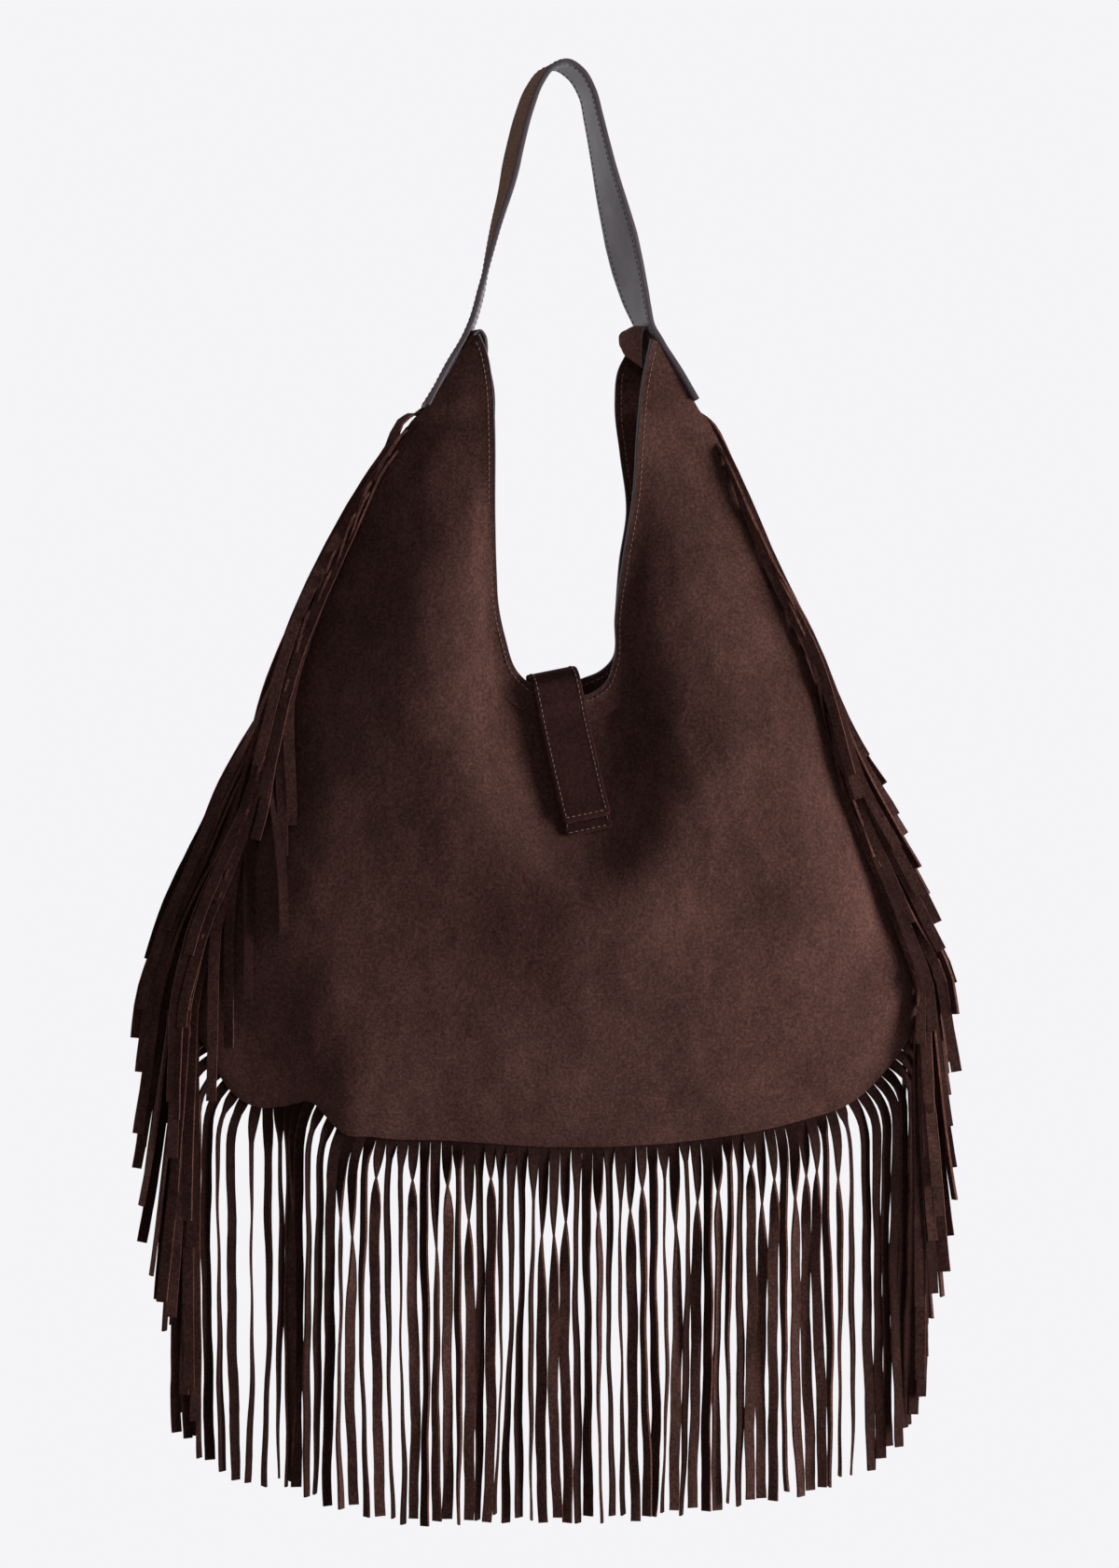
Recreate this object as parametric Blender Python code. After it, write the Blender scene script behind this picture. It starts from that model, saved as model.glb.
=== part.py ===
import math

import bmesh
import bpy
import numpy as np
from mathutils import Vector
from mathutils.bvhtree import BVHTree

for old in list(bpy.data.objects):
    bpy.data.objects.remove(old, do_unlink=True)

# All sizes are millimetres here and become metres in addSolid.
# x runs to the bag's left as worn (right in the photo), -y is the front, +z is up, origin under the strap's top.
suede = 1.5
facingWidth = 15.0
facingThick = 1.2
skin = 0.3
strapWidth = 28.0
strapPly = 1.6
tabWidth = 27.0
tabTilt = math.radians(11.5)
tabTop = (-5.0, -349.6)
tabLength = 87.0
frontTabLength = 94.5
tabThick = 2.6
frontTabThick = 2.2
snapRadius = 7.0
snapHalf = 0.9
stripPitch = 6.3
stripWidth = 5.8
stripThick = 1.4
stripLength = 218.0
laneStep = 6.3
laneFirst = 4.3
laneOffset = 4.4
laneGrow = 1.9 / (6 * stripPitch)
flareLeft = 20.0
flareRight = 9.5
flareStart = 220.0
flareFull = 305.0
flareLow = 115.0
tapeWidth = 6.0

# Outlines in the x z plane, each from the tip at -x round under the bag to the tip at +x.
seamPoints = [
    (-52.4, -157.9), (-64.1, -177.9), (-75.8, -197.9), (-106, -245), (-138, -309), (-158, -363),
    (-179, -439), (-204, -514), (-209, -556), (-197, -584), (-176, -599), (-152, -600),
    (-130, -610), (-106, -619), (-30, -623), (74, -621), (140, -610), (172, -599), (196, -573),
    (207, -543), (196, -501), (168, -426), (147, -352), (116, -282), (90, -220), (76.4, -193.5),
    (65.5, -176.5), (54.6, -159.5),
]
frontMouthPoints = [
    (-46, -163), (-41, -184), (-40, -210), (-39.5, -263), (-38.5, -292), (-37, -313), (-33, -331),
    (-26, -350), (-12, -361), (2, -364.5), (15, -363), (24, -356), (29, -343), (30.5, -315),
    (35.5, -285), (41.5, -246), (43.5, -215), (46, -184), (50, -166),
]
backMouthPoints = [
    (-42, -163), (-37, -186), (-37, -212), (-38, -263), (-36.5, -300), (-34, -325), (-30, -342),
    (-22, -353.5), (-10, -358), (3, -358.5), (15, -356), (25, -350), (30, -340), (32, -318), (37, -285),
    (41.5, -256), (38, -222), (35, -192), (37, -173), (42, -163),
]
strapPoints = [
    (-77.9, -196.6), (-66.5, -176.6), (-54.5, -156.6), (-51, -148.5), (-46, -131.2), (-41.4, -110.2),
    (-36.8, -90.7), (-31.3, -70.7), (-26.4, -47.5), (-20.7, -25.9), (-14.7, -10.8), (-7.1, -1.1),
    (0.8, 1.75), (9.8, -3.2), (16.3, -13.5), (20.2, -28.6), (23.4, -43.2), (28.3, -65.9),
    (35.4, -95), (41.1, -119.3), (46.9, -139.9), (50.7, -150.1), (56.7, -158.2), (67.6, -173.9),
    (78.5, -192.2),
]
rightCurlPoints = [
    (58.7, -166.9), (54.3, -160.0), (49.6, -155.3), (46.2, -150.9), (42, -150.2), (38, -153.4),
    (36, -158), (36.3, -163), (38.0, -168.5),
]
leftCurlPoints = [
    (-56.9, -166.9), (-51.7, -158.4), (-47.9, -153.8), (-45.2, -152.2), (-42.6, -154.8), (-41.4, -160), (-42.4, -166),
    (-44.6, -171),
]


def smoothLine(points, count):
    # A cubic through the points, respaced evenly along its length.
    p = np.array(points, float)
    u = np.concatenate([[0.0], np.cumsum(np.linalg.norm(np.diff(p, axis=0), axis=1))])
    slope = np.gradient(p, u, axis=0)
    fine = np.linspace(0, u[-1], 6000)
    k = np.clip(np.searchsorted(u, fine, side="right") - 1, 0, len(u) - 2)
    h = (u[k + 1] - u[k])[:, None]
    w = (fine - u[k])[:, None] / h
    line = (2 * w**3 - 3 * w**2 + 1) * p[k] + (w**3 - 2 * w**2 + w) * h * slope[k]
    line = line + (3 * w**2 - 2 * w**3) * p[k + 1] + (w**3 - w**2) * h * slope[k + 1]
    length = np.concatenate([[0.0], np.cumsum(np.linalg.norm(np.diff(line, axis=0), axis=1))])
    even = np.linspace(0, length[-1], count)
    return np.stack([np.interp(even, length, line[:, c]) for c in range(p.shape[1])], axis=1), length[-1]


def along(line, share):
    share = np.asarray(share, float)
    at = np.linspace(0, 1, len(line))
    return np.stack([np.interp(share, at, line[:, c]) for c in range(line.shape[1])], axis=-1)


def softTable(knots, values, width):
    # Straight lines through the knots, rounded by a moving average, as a function of 0 to 1.
    at = np.linspace(0, 1, 1001)
    raw = np.interp(at, knots, values)
    pad = int(width * 500)
    before = 2 * raw[0] - raw[pad:0:-1]
    after = 2 * raw[-1] - raw[-2 : -pad - 2 : -1]
    kernel = np.hanning(2 * pad + 1)
    soft = np.convolve(np.concatenate([before, raw, after]), kernel / kernel.sum(), mode="valid")
    return lambda x: np.interp(x, at, soft)


seamLine, seamLength = smoothLine(seamPoints, 2401)
mouthLine = {-1: smoothLine(frontMouthPoints, 1201)[0], 1: smoothLine(backMouthPoints, 1201)[0]}
mouthShare = softTable([0, 0.095, 0.30, 0.5, 0.70, 0.905, 1], [0, 0.235, 0.40, 0.5, 0.60, 0.765, 1], 0.06)
mouthGap = softTable([0, 0.1, 0.25, 0.38, 0.44, 0.56, 0.62, 0.75, 0.9, 1], [15, 16, 14, 10, 8, 8, 10, 14, 16, 15], 0.06)
bulgeOf = softTable(
    [0, 0.05, 0.12, 0.25, 0.36, 0.5, 0.64, 0.75, 0.88, 0.95, 1], [0, 2, 7, 20, 30, 34, 30, 20, 7, 2, 0], 0.06
)


def seamGap(s):
    # Half the distance between the panels at the seam: a strap's width apart at the tips, sewn shut below them.
    a = np.minimum(s, 1 - s) * seamLength
    return np.interp(a, [0, 46, 60], [13, 9, suede / 2 + stripThick / 2 + skin])


def bagPoints(side, s, t):
    # Point = mouth edge blended to the seam in x z, and a depth that bulges between them.
    s = np.asarray(s, float)
    t = np.asarray(t, float)
    f = mouthShare(s)
    xz = along(mouthLine[side], f) * (1 - t)[..., None] + along(seamLine, s) * t[..., None]
    half = mouthGap(f) * (1 - t) + seamGap(s) * t + bulgeOf(s) * np.sin(np.pi * t**1.35) ** 0.9
    return np.stack([xz[..., 0], side * half, xz[..., 1]], axis=-1)


def normalsOf(grid, side):
    across = np.gradient(grid, axis=0)
    down = np.gradient(grid, axis=1)
    n = np.cross(across, down)
    n = n / np.maximum(np.linalg.norm(n, axis=-1, keepdims=True), 1e-9)
    return n * np.sign(n[..., 1:2] * side + 1e-12)


def addSolid(name, verts, faces, material):
    mesh = bpy.data.meshes.new(name)
    mesh.from_pydata([tuple(0.001 * c for c in v) for v in verts], [], faces)
    shell = bmesh.new()
    shell.from_mesh(mesh)
    bmesh.ops.recalc_face_normals(shell, faces=shell.faces)
    shell.to_mesh(mesh)
    shell.free()
    mesh.validate()
    if material not in bpy.data.materials:
        bpy.data.materials.new(material)
    mesh.materials.append(bpy.data.materials[material])
    part = bpy.data.objects.new(name, mesh)
    bpy.context.scene.collection.objects.link(part)
    return part


def plate(outer, inner):
    # Two grids of equal size joined round the rim: one closed sheet, cut on the same diagonals on both sides.
    n, m = outer.shape[:2]
    verts = np.concatenate([outer.reshape(-1, 3), inner.reshape(-1, 3)]).tolist()
    base = n * m
    faces = []
    for i in range(n - 1):
        for j in range(m - 1):
            a, b, c, d = i * m + j, i * m + j + 1, (i + 1) * m + j + 1, (i + 1) * m + j
            faces += [[a, b, c], [a, c, d]]
            faces += [[base + c, base + b, base + a], [base + d, base + c, base + a]]
    ring = [(i, 0) for i in range(n)] + [(n - 1, j) for j in range(1, m)]
    ring += [(i, m - 1) for i in range(n - 2, -1, -1)] + [(0, j) for j in range(m - 2, 0, -1)]
    for a, b in zip(ring, ring[1:] + ring[:1]):
        u = a[0] * m + a[1]
        v = b[0] * m + b[1]
        faces.append([u, v, base + v, base + u])
    return verts, faces


def ribbon(centres, widths, normals, halfWidth, thick):
    # A flat band swept through its sections.
    c = np.array(centres, float)
    w = np.array(widths, float) * np.reshape(halfWidth, (-1, 1))
    n = np.array(normals, float) * thick / 2
    top = np.stack([c - w + n, c + w + n], axis=1)
    low = np.stack([c - w - n, c + w - n], axis=1)
    return plate(top, low)


def stations(count):
    # Shares of the seam, closer together where it turns.
    step = np.diff(seamLine, axis=0)
    turn = np.abs(np.diff(np.unwrap(np.arctan2(step[:, 1], step[:, 0])), append=0.0))
    turn[-1] = 0
    weight = np.cumsum(np.linalg.norm(step, axis=1) + 45 * turn)
    weight = np.concatenate([[0.0], weight]) / weight[-1]
    return np.interp(np.linspace(0, 1, count), weight, np.linspace(0, 1, len(seamLine)))


def addPanel(name, side, s, t):
    grid = bagPoints(side, *np.meshgrid(s, t, indexing="ij"))
    n = normalsOf(grid, side)
    outer = grid + n * suede / 2
    inner = grid - n * suede / 2
    floor = stripThick / 2 + skin
    inner[..., 1] = side * np.maximum(side * inner[..., 1], floor)
    outer[..., 1] = side * np.maximum(side * outer[..., 1], floor + suede)
    return addSolid(name, *plate(outer, inner), "suede")


def addFacing(name, side, s):
    # A second ply sewn inside the mouth edge.
    seam = bagPoints(side, s, np.ones_like(s))
    mouth = bagPoints(side, s, np.zeros_like(s))
    reach = np.minimum(facingWidth / np.linalg.norm(seam - mouth, axis=1), 0.45)
    rows = np.linspace(0, 1, 3)
    t = reach[:, None] * rows[None, :]
    grid = bagPoints(side, np.repeat(s[:, None], 3, axis=1), t)
    n = normalsOf(grid, side)
    near = suede / 2 + skin + 0.15
    return addSolid(name, *plate(grid - n * near, grid - n * (near + facingThick)), "suede")


def surfaceTree(part):
    mesh = part.data
    return BVHTree.FromPolygons([v.co[:] for v in mesh.vertices], [p.vertices[:] for p in mesh.polygons])


def depthAt(tree, x, z, side):
    start = Vector((0.001 * x, 0.001 * side * 300, 0.001 * z))
    hit = tree.ray_cast(start, Vector((0, -side, 0)))[0]
    return 1000 * hit.y


def tabCentre(h):
    # The closure hangs at a slant: h is the height above the top of its fold, measured along it.
    return tabTop[0] - h * math.sin(tabTilt), tabTop[1] + h * math.cos(tabTilt)


def panelDepths(tree, heights, side):
    rows = []
    for h in heights:
        x, z = tabCentre(h)
        spread = np.linspace(-tabWidth / 2 - 1, tabWidth / 2 + 1, 7)
        hits = [depthAt(tree, x + k * math.cos(tabTilt), z + k * math.sin(tabTilt), side) for k in spread]
        rows.append(max(side * y for y in hits) * side)
    return rows


def profile(name, material, depths, heights, thick, halfWidth):
    # A band across the closure's slant, from its mid line in depth and height.
    line = np.stack([depths, heights], axis=1)
    centres = [(tabCentre(h)[0], y, tabCentre(h)[1]) for y, h in line]
    flow = np.gradient(line, axis=0)
    flow /= np.linalg.norm(flow, axis=1)[:, None]
    across = (math.cos(tabTilt), 0, math.sin(tabTilt))
    normals = [
        (-fy * -math.sin(tabTilt), fh, -fy * math.cos(tabTilt)) for fy, fh in flow
    ]
    return addSolid(name, *ribbon(centres, [across] * len(centres), normals, halfWidth, thick), material)


def addDisc(name, material, centre, normal, radius, thick):
    n = Vector(normal).normalized()
    u = n.orthogonal().normalized()
    v = n.cross(u)
    verts = []
    for k in (0, 1):
        for i in range(24):
            a = 2 * math.pi * i / 24
            p = Vector(centre) + n * thick * k + radius * (u * math.cos(a) + v * math.sin(a))
            verts.append(tuple(p))
    faces = [list(range(24)), list(range(24, 48))]
    faces += [[i, (i + 1) % 24, 24 + (i + 1) % 24, 24 + i] for i in range(24)]
    return addSolid(name, verts, faces, material)


def addClosure(frontTree, backTree):
    # Lower tab sewn on the front, upper tab folded over the mouth from the back, a magnetic snap between.
    gap = 2 * snapHalf + 0.6
    lower = np.append(np.arange(-20.0, -frontTabLength, -9.0), -frontTabLength)
    panel = np.array(panelDepths(frontTree, lower, -1))
    half = np.full(len(lower), tabWidth / 2)
    half[-1] -= 1.5
    profile("front_tab", "suede", panel - skin - 0.1 - frontTabThick / 2, lower, frontTabThick, half)

    reach = skin + 0.1 + frontTabThick + gap + tabThick / 2
    hang = np.append(np.arange(-20.0, -tabLength, -9.0), -tabLength)
    front = np.array(panelDepths(frontTree, hang, -1)) - reach
    depths = np.concatenate([[7.4, 1.0, -5.0, -10.5, -14.0, front[0] + 0.2], front])
    heights = np.concatenate([[-1.3, -0.7, -1.0, -2.6, -6.0, -12.0], hang])
    half = np.full(len(heights), tabWidth / 2)
    half[-1] -= 1.5
    profile("closure_tab", "suede", depths, heights, tabThick, half)

    sewn = np.array([-34.0, -26.0, -18.0, -11.0])
    back = np.array(panelDepths(backTree, sewn, 1)) + skin + 0.1 + tabThick / 2
    rise = back[-1]
    depths = np.concatenate([back, [rise, rise - 0.4, 8.0]])
    heights = np.concatenate([sewn, [-6.0, -3.2, -1.35]])
    profile("closure_tab_root", "suede", depths, heights, tabThick, np.full(len(heights), tabWidth / 2))

    at = -0.80 * tabLength
    row = np.array(panelDepths(frontTree, [at - 3, at, at + 3], -1))
    slope = (row[2] - row[0]) / 6
    facing = Vector((-math.sin(tabTilt) * slope, -1, slope * math.cos(tabTilt))).normalized()
    x, z = tabCentre(at)
    base = Vector((x, row[1] - skin - 0.1 - frontTabThick - 0.2, z))
    addDisc("snap_socket", "snap_steel", base, facing, snapRadius, snapHalf)
    addDisc("snap_stud", "snap_steel", base + facing * (snapHalf + 0.2), facing, snapRadius, snapHalf)


def strapFrame(count):
    # The strap's mid line, and its width turning about the upright so that it shows its lining on one side.
    line, length = smoothLine([(x, 0.0, z) for x, z in strapPoints], count)
    share = np.linspace(0, 1, count)
    turn = softTable(
        [0, 0.14, 0.28, 0.5, 0.62, 0.70, 0.80, 0.86, 0.90, 1], [0, 0, 6, 8, 14, 26, 27, 14, 0, 0], 0.04
    )(share)
    line[:, 1] = np.where(np.abs(share - 0.5) < 0.4, 0.14 * line[:, 0] * np.cos(np.pi * (share - 0.5) / 0.8) ** 2, 0)
    a = np.radians(turn)
    width = np.stack([-np.sin(a), np.cos(a), np.zeros(count)], axis=1)
    flow = np.gradient(line, axis=0)
    flow /= np.linalg.norm(flow, axis=1)[:, None]
    width -= flow * (width * flow).sum(axis=1)[:, None]
    width /= np.linalg.norm(width, axis=1)[:, None]
    normal = np.cross(width, flow)
    normal *= np.sign(normal[count // 2, 2])
    return line, width, normal


def addStrap():
    line, width, normal = strapFrame(49)
    shift = strapPly / 2 + 0.15
    half = np.full(len(line), strapWidth / 2)
    addSolid("strap", *ribbon(line + normal * shift, width, normal, half, strapPly), "suede")
    addSolid("strap_lining", *ribbon(line - normal * shift, width, normal, half, strapPly), "lining_leather")


def addCurl(name, points, span):
    line, _ = smoothLine(points, 14)
    flow = np.gradient(line, axis=0)
    flow /= np.linalg.norm(flow, axis=1)[:, None]
    centres = [(x, 0, z) for x, z in line]
    normals = [(-f[1], 0, f[0]) for f in flow]
    half = np.full(len(line), span)
    return addSolid(name, *ribbon(centres, [(0, 1, 0)] * len(line), normals, half, 1.4), "suede")


class Edge:
    # The seam seen from one tip downwards, and the line that hanging strips follow once past its widest point.
    def __init__(self, mirror):
        self.mirror = mirror
        line = seamLine[::-1] if mirror else seamLine
        half = line[: len(line) // 2]
        self.widest = float(np.argmax(np.abs(half[:, 0]))) * seamLength / (len(line) - 1)
        self.line = line

    def seam(self, a):
        p = along(self.line, a / seamLength)
        q = along(self.line, (a + 0.5) / seamLength) - along(self.line, (a - 0.5) / seamLength)
        flow = q / np.linalg.norm(q)
        out = np.array([flow[1], -flow[0]])
        if self.mirror:
            out = -out
        return p, flow, out

    def hang(self, root, d):
        # Where a strip rooted at root is after d millimetres, and which way is outwards there.
        a = root + d
        if a <= self.widest:
            p, _, out = self.seam(a)
            return p, out
        start = max(root, self.widest)
        p, _, _ = self.seam(start)
        return p + np.array([0.0, start - a]), np.array([1.0 if self.mirror else -1.0, 0.0])


def section(centre, width, thick, halfWidth=stripWidth / 2, halfThick=stripThick / 2):
    c = np.array(centre, float)
    w = np.array(width, float) * halfWidth
    t = np.array(thick, float) * halfThick
    return [c - w - t, c + w - t, c + w + t, c - w + t]


def flat(p, y=0.0):
    return np.array([p[0], y, p[1]])


lanePattern = [(-1, 0), (1, 1), (-1, 2), (1, 0), (-1, 1), (1, 2)]
breaks = [50.0, 110.0, 180.0, flareStart, 262.0, flareFull, 345.0, 390.0]


def ease(x):
    x = min(max(x, 0.0), 1.0)
    return x * x * (3 - 2 * x)


def laneFor(edge, root, d):
    # Distance from the seam: a step, a lane's growth that is less below the widest point, and a flare.
    above = edge.widest - root
    grow = laneGrow * (0.2 + 0.8 * ease((above - 15) / 23))
    flare = (flareRight if edge.mirror else flareLeft) * ease(above / flareLow)
    reached = ease((min(root + d, edge.widest) - flareStart) / (flareFull - flareStart))
    return laneOffset + grow * max(d - 8.5, 0.0) + flare * reached * (d / stripLength) ** 2


def sideStrip(edge, root, index):
    # Out of the seam, sideways to its lane, then down the bag's edge and free below the widest point.
    sign, lane = lanePattern[index % 6]
    y = sign * (laneFirst + laneStep * lane)
    p, flow, out = edge.seam(root)
    along3 = flat(flow)
    out3 = flat(out)
    thick = -sign * out3
    base = flat(p)
    loops = [section(base + out3 * 2.0 + np.array([0, sign * 0.9, 0]), along3, thick)]
    corner = along3 - sign * np.array([0, 1.0, 0])
    loops.append(section(base + out3 * 2.0 + np.array([0, y, 0]), corner, thick))
    length = stripLength * (1 + 0.012 * math.sin(index * 2.4))
    marks = [8.5] + [b - root for b in breaks + [edge.widest] if 20 < b - root < length - 20] + [length]
    for d in marks:
        p, out = edge.hang(root, d)
        place = flat(p + out * laneFor(edge, root, d), y)
        loops.append(section(place, (0, -sign, 0), -sign * flat(out)))
    return loops


def bottomStrip(edge, root, index):
    # Straight out of the seam, then hanging, turned on its own axis.
    p, flow, out = edge.seam(root)
    turn = math.radians(56 + 9 * math.sin(0.45 * index))
    length = stripLength * (1 + 0.010 * math.sin(index * 2.4))
    side = 0.9 if index % 2 else -0.9
    start = p + out * 3.0
    loops = [section(flat(start), flat(flow), (0, 1, 0))]
    for d, share in [(14, 0.45), (34, 1.0), (120, 1.0), (length, 1.0)]:
        a = turn * share
        place = flat(start - np.array([0, d - 3.0]), side * share)
        loops.append(section(place, (math.cos(a), math.sin(a), 0), (-math.sin(a), math.cos(a), 0)))
    return loops


def addFringe(name, mirror, first, count, makeStrip):
    # One cut piece: a tape sewn into the seam with its strips on the outer edge.
    edge = Edge(mirror)
    verts = []
    faces = []
    inner = -tapeWidth
    roots = [first + stripPitch * (k + 0.5) for k in range(count)]
    for root in roots:
        for a in (root - stripWidth / 2, root + stripWidth / 2):
            p, _, out = edge.seam(a)
            for offset, y in [(inner, -1), (inner, 1), (0.0, 1), (0.0, -1)]:
                verts.append(flat(p + out * offset, y * stripThick / 2))
    for k in range(2 * count - 1):
        i = 4 * k
        j = i + 4
        faces += [[i, j, j + 3, i + 3], [i + 1, i + 2, j + 2, j + 1], [i, i + 1, j + 1, j]]
        if k % 2:
            faces.append([i + 2, i + 3, j + 3, j + 2])
    end = 4 * (2 * count - 1)
    faces += [[0, 1, 2, 3], [end, end + 3, end + 2, end + 1]]
    for k, root in enumerate(roots):
        i = 8 * k
        ring = [i + 3, i + 7, i + 6, i + 2]
        for loop in makeStrip(edge, root, k):
            n = len(verts)
            verts += loop
            new = [n, n + 1, n + 2, n + 3]
            for c in range(4):
                faces.append([ring[c], ring[(c + 1) % 4], new[(c + 1) % 4], new[c]])
            ring = new
        faces.append(ring)
    return addSolid(name, verts, faces, "suede")


s = stations(49)
front = addPanel("front_panel", -1, s, np.array([0, 0.10, 0.26, 0.46, 0.66, 0.85, 1]))
back = addPanel("back_panel", 1, s, np.array([0, 0.10, 0.26, 0.46, 0.66, 0.85, 1]))
inside = s[(s > 0.045) & (s < 0.955)]
addFacing("front_mouth_facing", -1, inside)
addFacing("back_mouth_facing", 1, inside)
addStrap()
addCurl("tip_fold_left", leftCurlPoints, 10.0)
addCurl("tip_fold_right", rightCurlPoints, 10.0)
addClosure(surfaceTree(front), surfaceTree(back))
sideCount = 69
sideStart = 51.0
addFringe("fringe_left", False, sideStart, sideCount, sideStrip)
addFringe("fringe_right", True, sideStart, sideCount, sideStrip)
bottomStart = sideStart + stripPitch * sideCount
bottomCount = int((seamLength - 2 * bottomStart) / stripPitch)
addFringe("fringe_bottom", False, (seamLength - bottomCount * stripPitch) / 2, bottomCount, bottomStrip)
for part in bpy.data.objects:
    print(part.name, sum(len(p.vertices) - 2 for p in part.data.polygons))
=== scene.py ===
# Fringed suede shoulder bag, hung by its strap. Surfaces are worked out in millimetres and put in metres.
import math

import bmesh
import bpy
import numpy as np
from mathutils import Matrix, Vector
from mathutils.bvhtree import BVHTree


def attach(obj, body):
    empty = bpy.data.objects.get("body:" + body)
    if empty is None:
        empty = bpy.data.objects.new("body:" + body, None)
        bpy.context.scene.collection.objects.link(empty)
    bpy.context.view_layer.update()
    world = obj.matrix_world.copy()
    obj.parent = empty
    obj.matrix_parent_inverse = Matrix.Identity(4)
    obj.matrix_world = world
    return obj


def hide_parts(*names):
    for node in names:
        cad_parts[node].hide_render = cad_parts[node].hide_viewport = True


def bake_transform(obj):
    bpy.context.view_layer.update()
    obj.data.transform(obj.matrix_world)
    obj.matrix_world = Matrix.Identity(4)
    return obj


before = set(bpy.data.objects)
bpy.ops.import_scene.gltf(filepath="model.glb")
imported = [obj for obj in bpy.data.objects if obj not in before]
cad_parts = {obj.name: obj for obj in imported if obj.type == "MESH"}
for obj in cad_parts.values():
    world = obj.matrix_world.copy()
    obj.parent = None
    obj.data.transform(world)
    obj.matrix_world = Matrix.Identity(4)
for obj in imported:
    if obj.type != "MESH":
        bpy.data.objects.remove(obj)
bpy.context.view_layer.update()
print("frame loaded:", len(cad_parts), "nodes")

# Outlines in the x z plane, the same ones that the solids are built on.
outlines = {
    "seam": [
        (-52.4, -157.9), (-64.1, -177.9), (-75.8, -197.9), (-106, -245), (-138, -309), (-158, -363),
        (-179, -439), (-204, -514), (-209, -556), (-197, -584), (-176, -599), (-152, -600),
        (-130, -610), (-106, -619), (-30, -623), (74, -621), (140, -610), (172, -599), (196, -573),
        (207, -543), (196, -501), (168, -426), (147, -352), (116, -282), (90, -220), (76.4, -193.5),
        (65.5, -176.5), (54.6, -159.5),
    ],
    "frontMouth": [
        (-49, -156.4), (-45.5, -164), (-41.4, -184), (-40, -210), (-39.5, -263), (-38.5, -292),
        (-37, -313), (-33, -331), (-26, -350), (-12, -361), (2, -364.5), (15, -363.5), (25.4, -357),
        (30.8, -343), (31.4, -318), (35.5, -285), (41.5, -246), (43.5, -215), (46.4, -184),
        (49.6, -168), (52.2, -158),
    ],
    "backMouth": [
        (-42, -163), (-37, -186), (-37, -212), (-38, -263), (-36.5, -300), (-34, -325), (-30, -342),
        (-22, -353.5), (-10, -357.5), (3, -357.5), (15, -353.5), (25, -349.2), (31.5, -343), (34, -318),
        (37, -285), (41.5, -256), (38, -222), (35, -192), (37, -173), (42, -163),
    ],
    "strap": [
        (-77.9, -196.6), (-66.5, -176.6), (-54.5, -156.6), (-51, -148.5), (-46, -131.2),
        (-41.4, -110.2), (-36.8, -90.7), (-31.3, -70.7), (-26.4, -47.5), (-20.7, -25.9),
        (-14.7, -10.8), (-7.1, -1.1), (0.8, 1.75), (9.8, -3.2), (16.3, -13.5), (20.2, -28.6),
        (23.4, -43.2), (28.3, -65.9), (35.4, -95), (41.1, -119.3), (46.9, -139.9), (50.7, -150.1),
        (56.7, -158.2), (67.6, -173.9), (78.5, -192.2),
    ],
    "rightFold": [
        (47.6, -174), (47.3, -164), (47.2, -157), (48.0, -152.6), (50.1, -150.4), (52.4, -152.0),
        (53.9, -155.8), (55.4, -160), (58.6, -168.5),
    ],
    "leftFold": [
        (-44.2, -176), (-43.6, -168), (-43.5, -161.5), (-44.6, -156.4), (-47.2, -153.7), (-49.6, -155.0),
        (-51.4, -159), (-55.5, -167),
    ],
}


def smoothLine(points, count):
    # A cubic through the points, respaced evenly along its length: returns the line and that length.
    p = np.array(points, float)
    u = np.concatenate([[0.0], np.cumsum(np.linalg.norm(np.diff(p, axis=0), axis=1))])
    slope = np.gradient(p, u, axis=0)
    fine = np.linspace(0, u[-1], 6000)
    k = np.clip(np.searchsorted(u, fine, side="right") - 1, 0, len(u) - 2)
    h = (u[k + 1] - u[k])[:, None]
    w = (fine - u[k])[:, None] / h
    line = (2 * w**3 - 3 * w**2 + 1) * p[k] + (w**3 - 2 * w**2 + w) * h * slope[k]
    line = line + (3 * w**2 - 2 * w**3) * p[k + 1] + (w**3 - w**2) * h * slope[k + 1]
    length = np.concatenate([[0.0], np.cumsum(np.linalg.norm(np.diff(line, axis=0), axis=1))])
    even = np.linspace(0, length[-1], count)
    return np.stack([np.interp(even, length, line[:, c]) for c in range(p.shape[1])], axis=1), length[-1]


def along(line, share):
    # The point at each share of an evenly spaced line, straight between its neighbours.
    share = np.asarray(share, float)
    at = np.linspace(0, 1, len(line))
    return np.stack([np.interp(share, at, line[:, c]) for c in range(line.shape[1])], axis=-1)


def softTable(knots, values, width):
    # Straight lines through the knots, rounded by a moving average, as a function of 0 to 1.
    at = np.linspace(0, 1, 1001)
    raw = np.interp(at, knots, values)
    pad = int(width * 500)
    before = 2 * raw[0] - raw[pad:0:-1]
    after = 2 * raw[-1] - raw[-2 : -pad - 2 : -1]
    kernel = np.hanning(2 * pad + 1)
    soft = np.convolve(np.concatenate([before, raw, after]), kernel / kernel.sum(), mode="valid")
    return lambda x: np.interp(x, at, soft)


def ease(x):
    # 0 before 0, 1 after 1, smooth between.
    x = np.clip(x, 0, 1)
    return x * x * (3 - 2 * x)


def unit(v):
    # Each vector over its length.
    return v / np.maximum(np.linalg.norm(v, axis=-1, keepdims=True), 1e-9)


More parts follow.
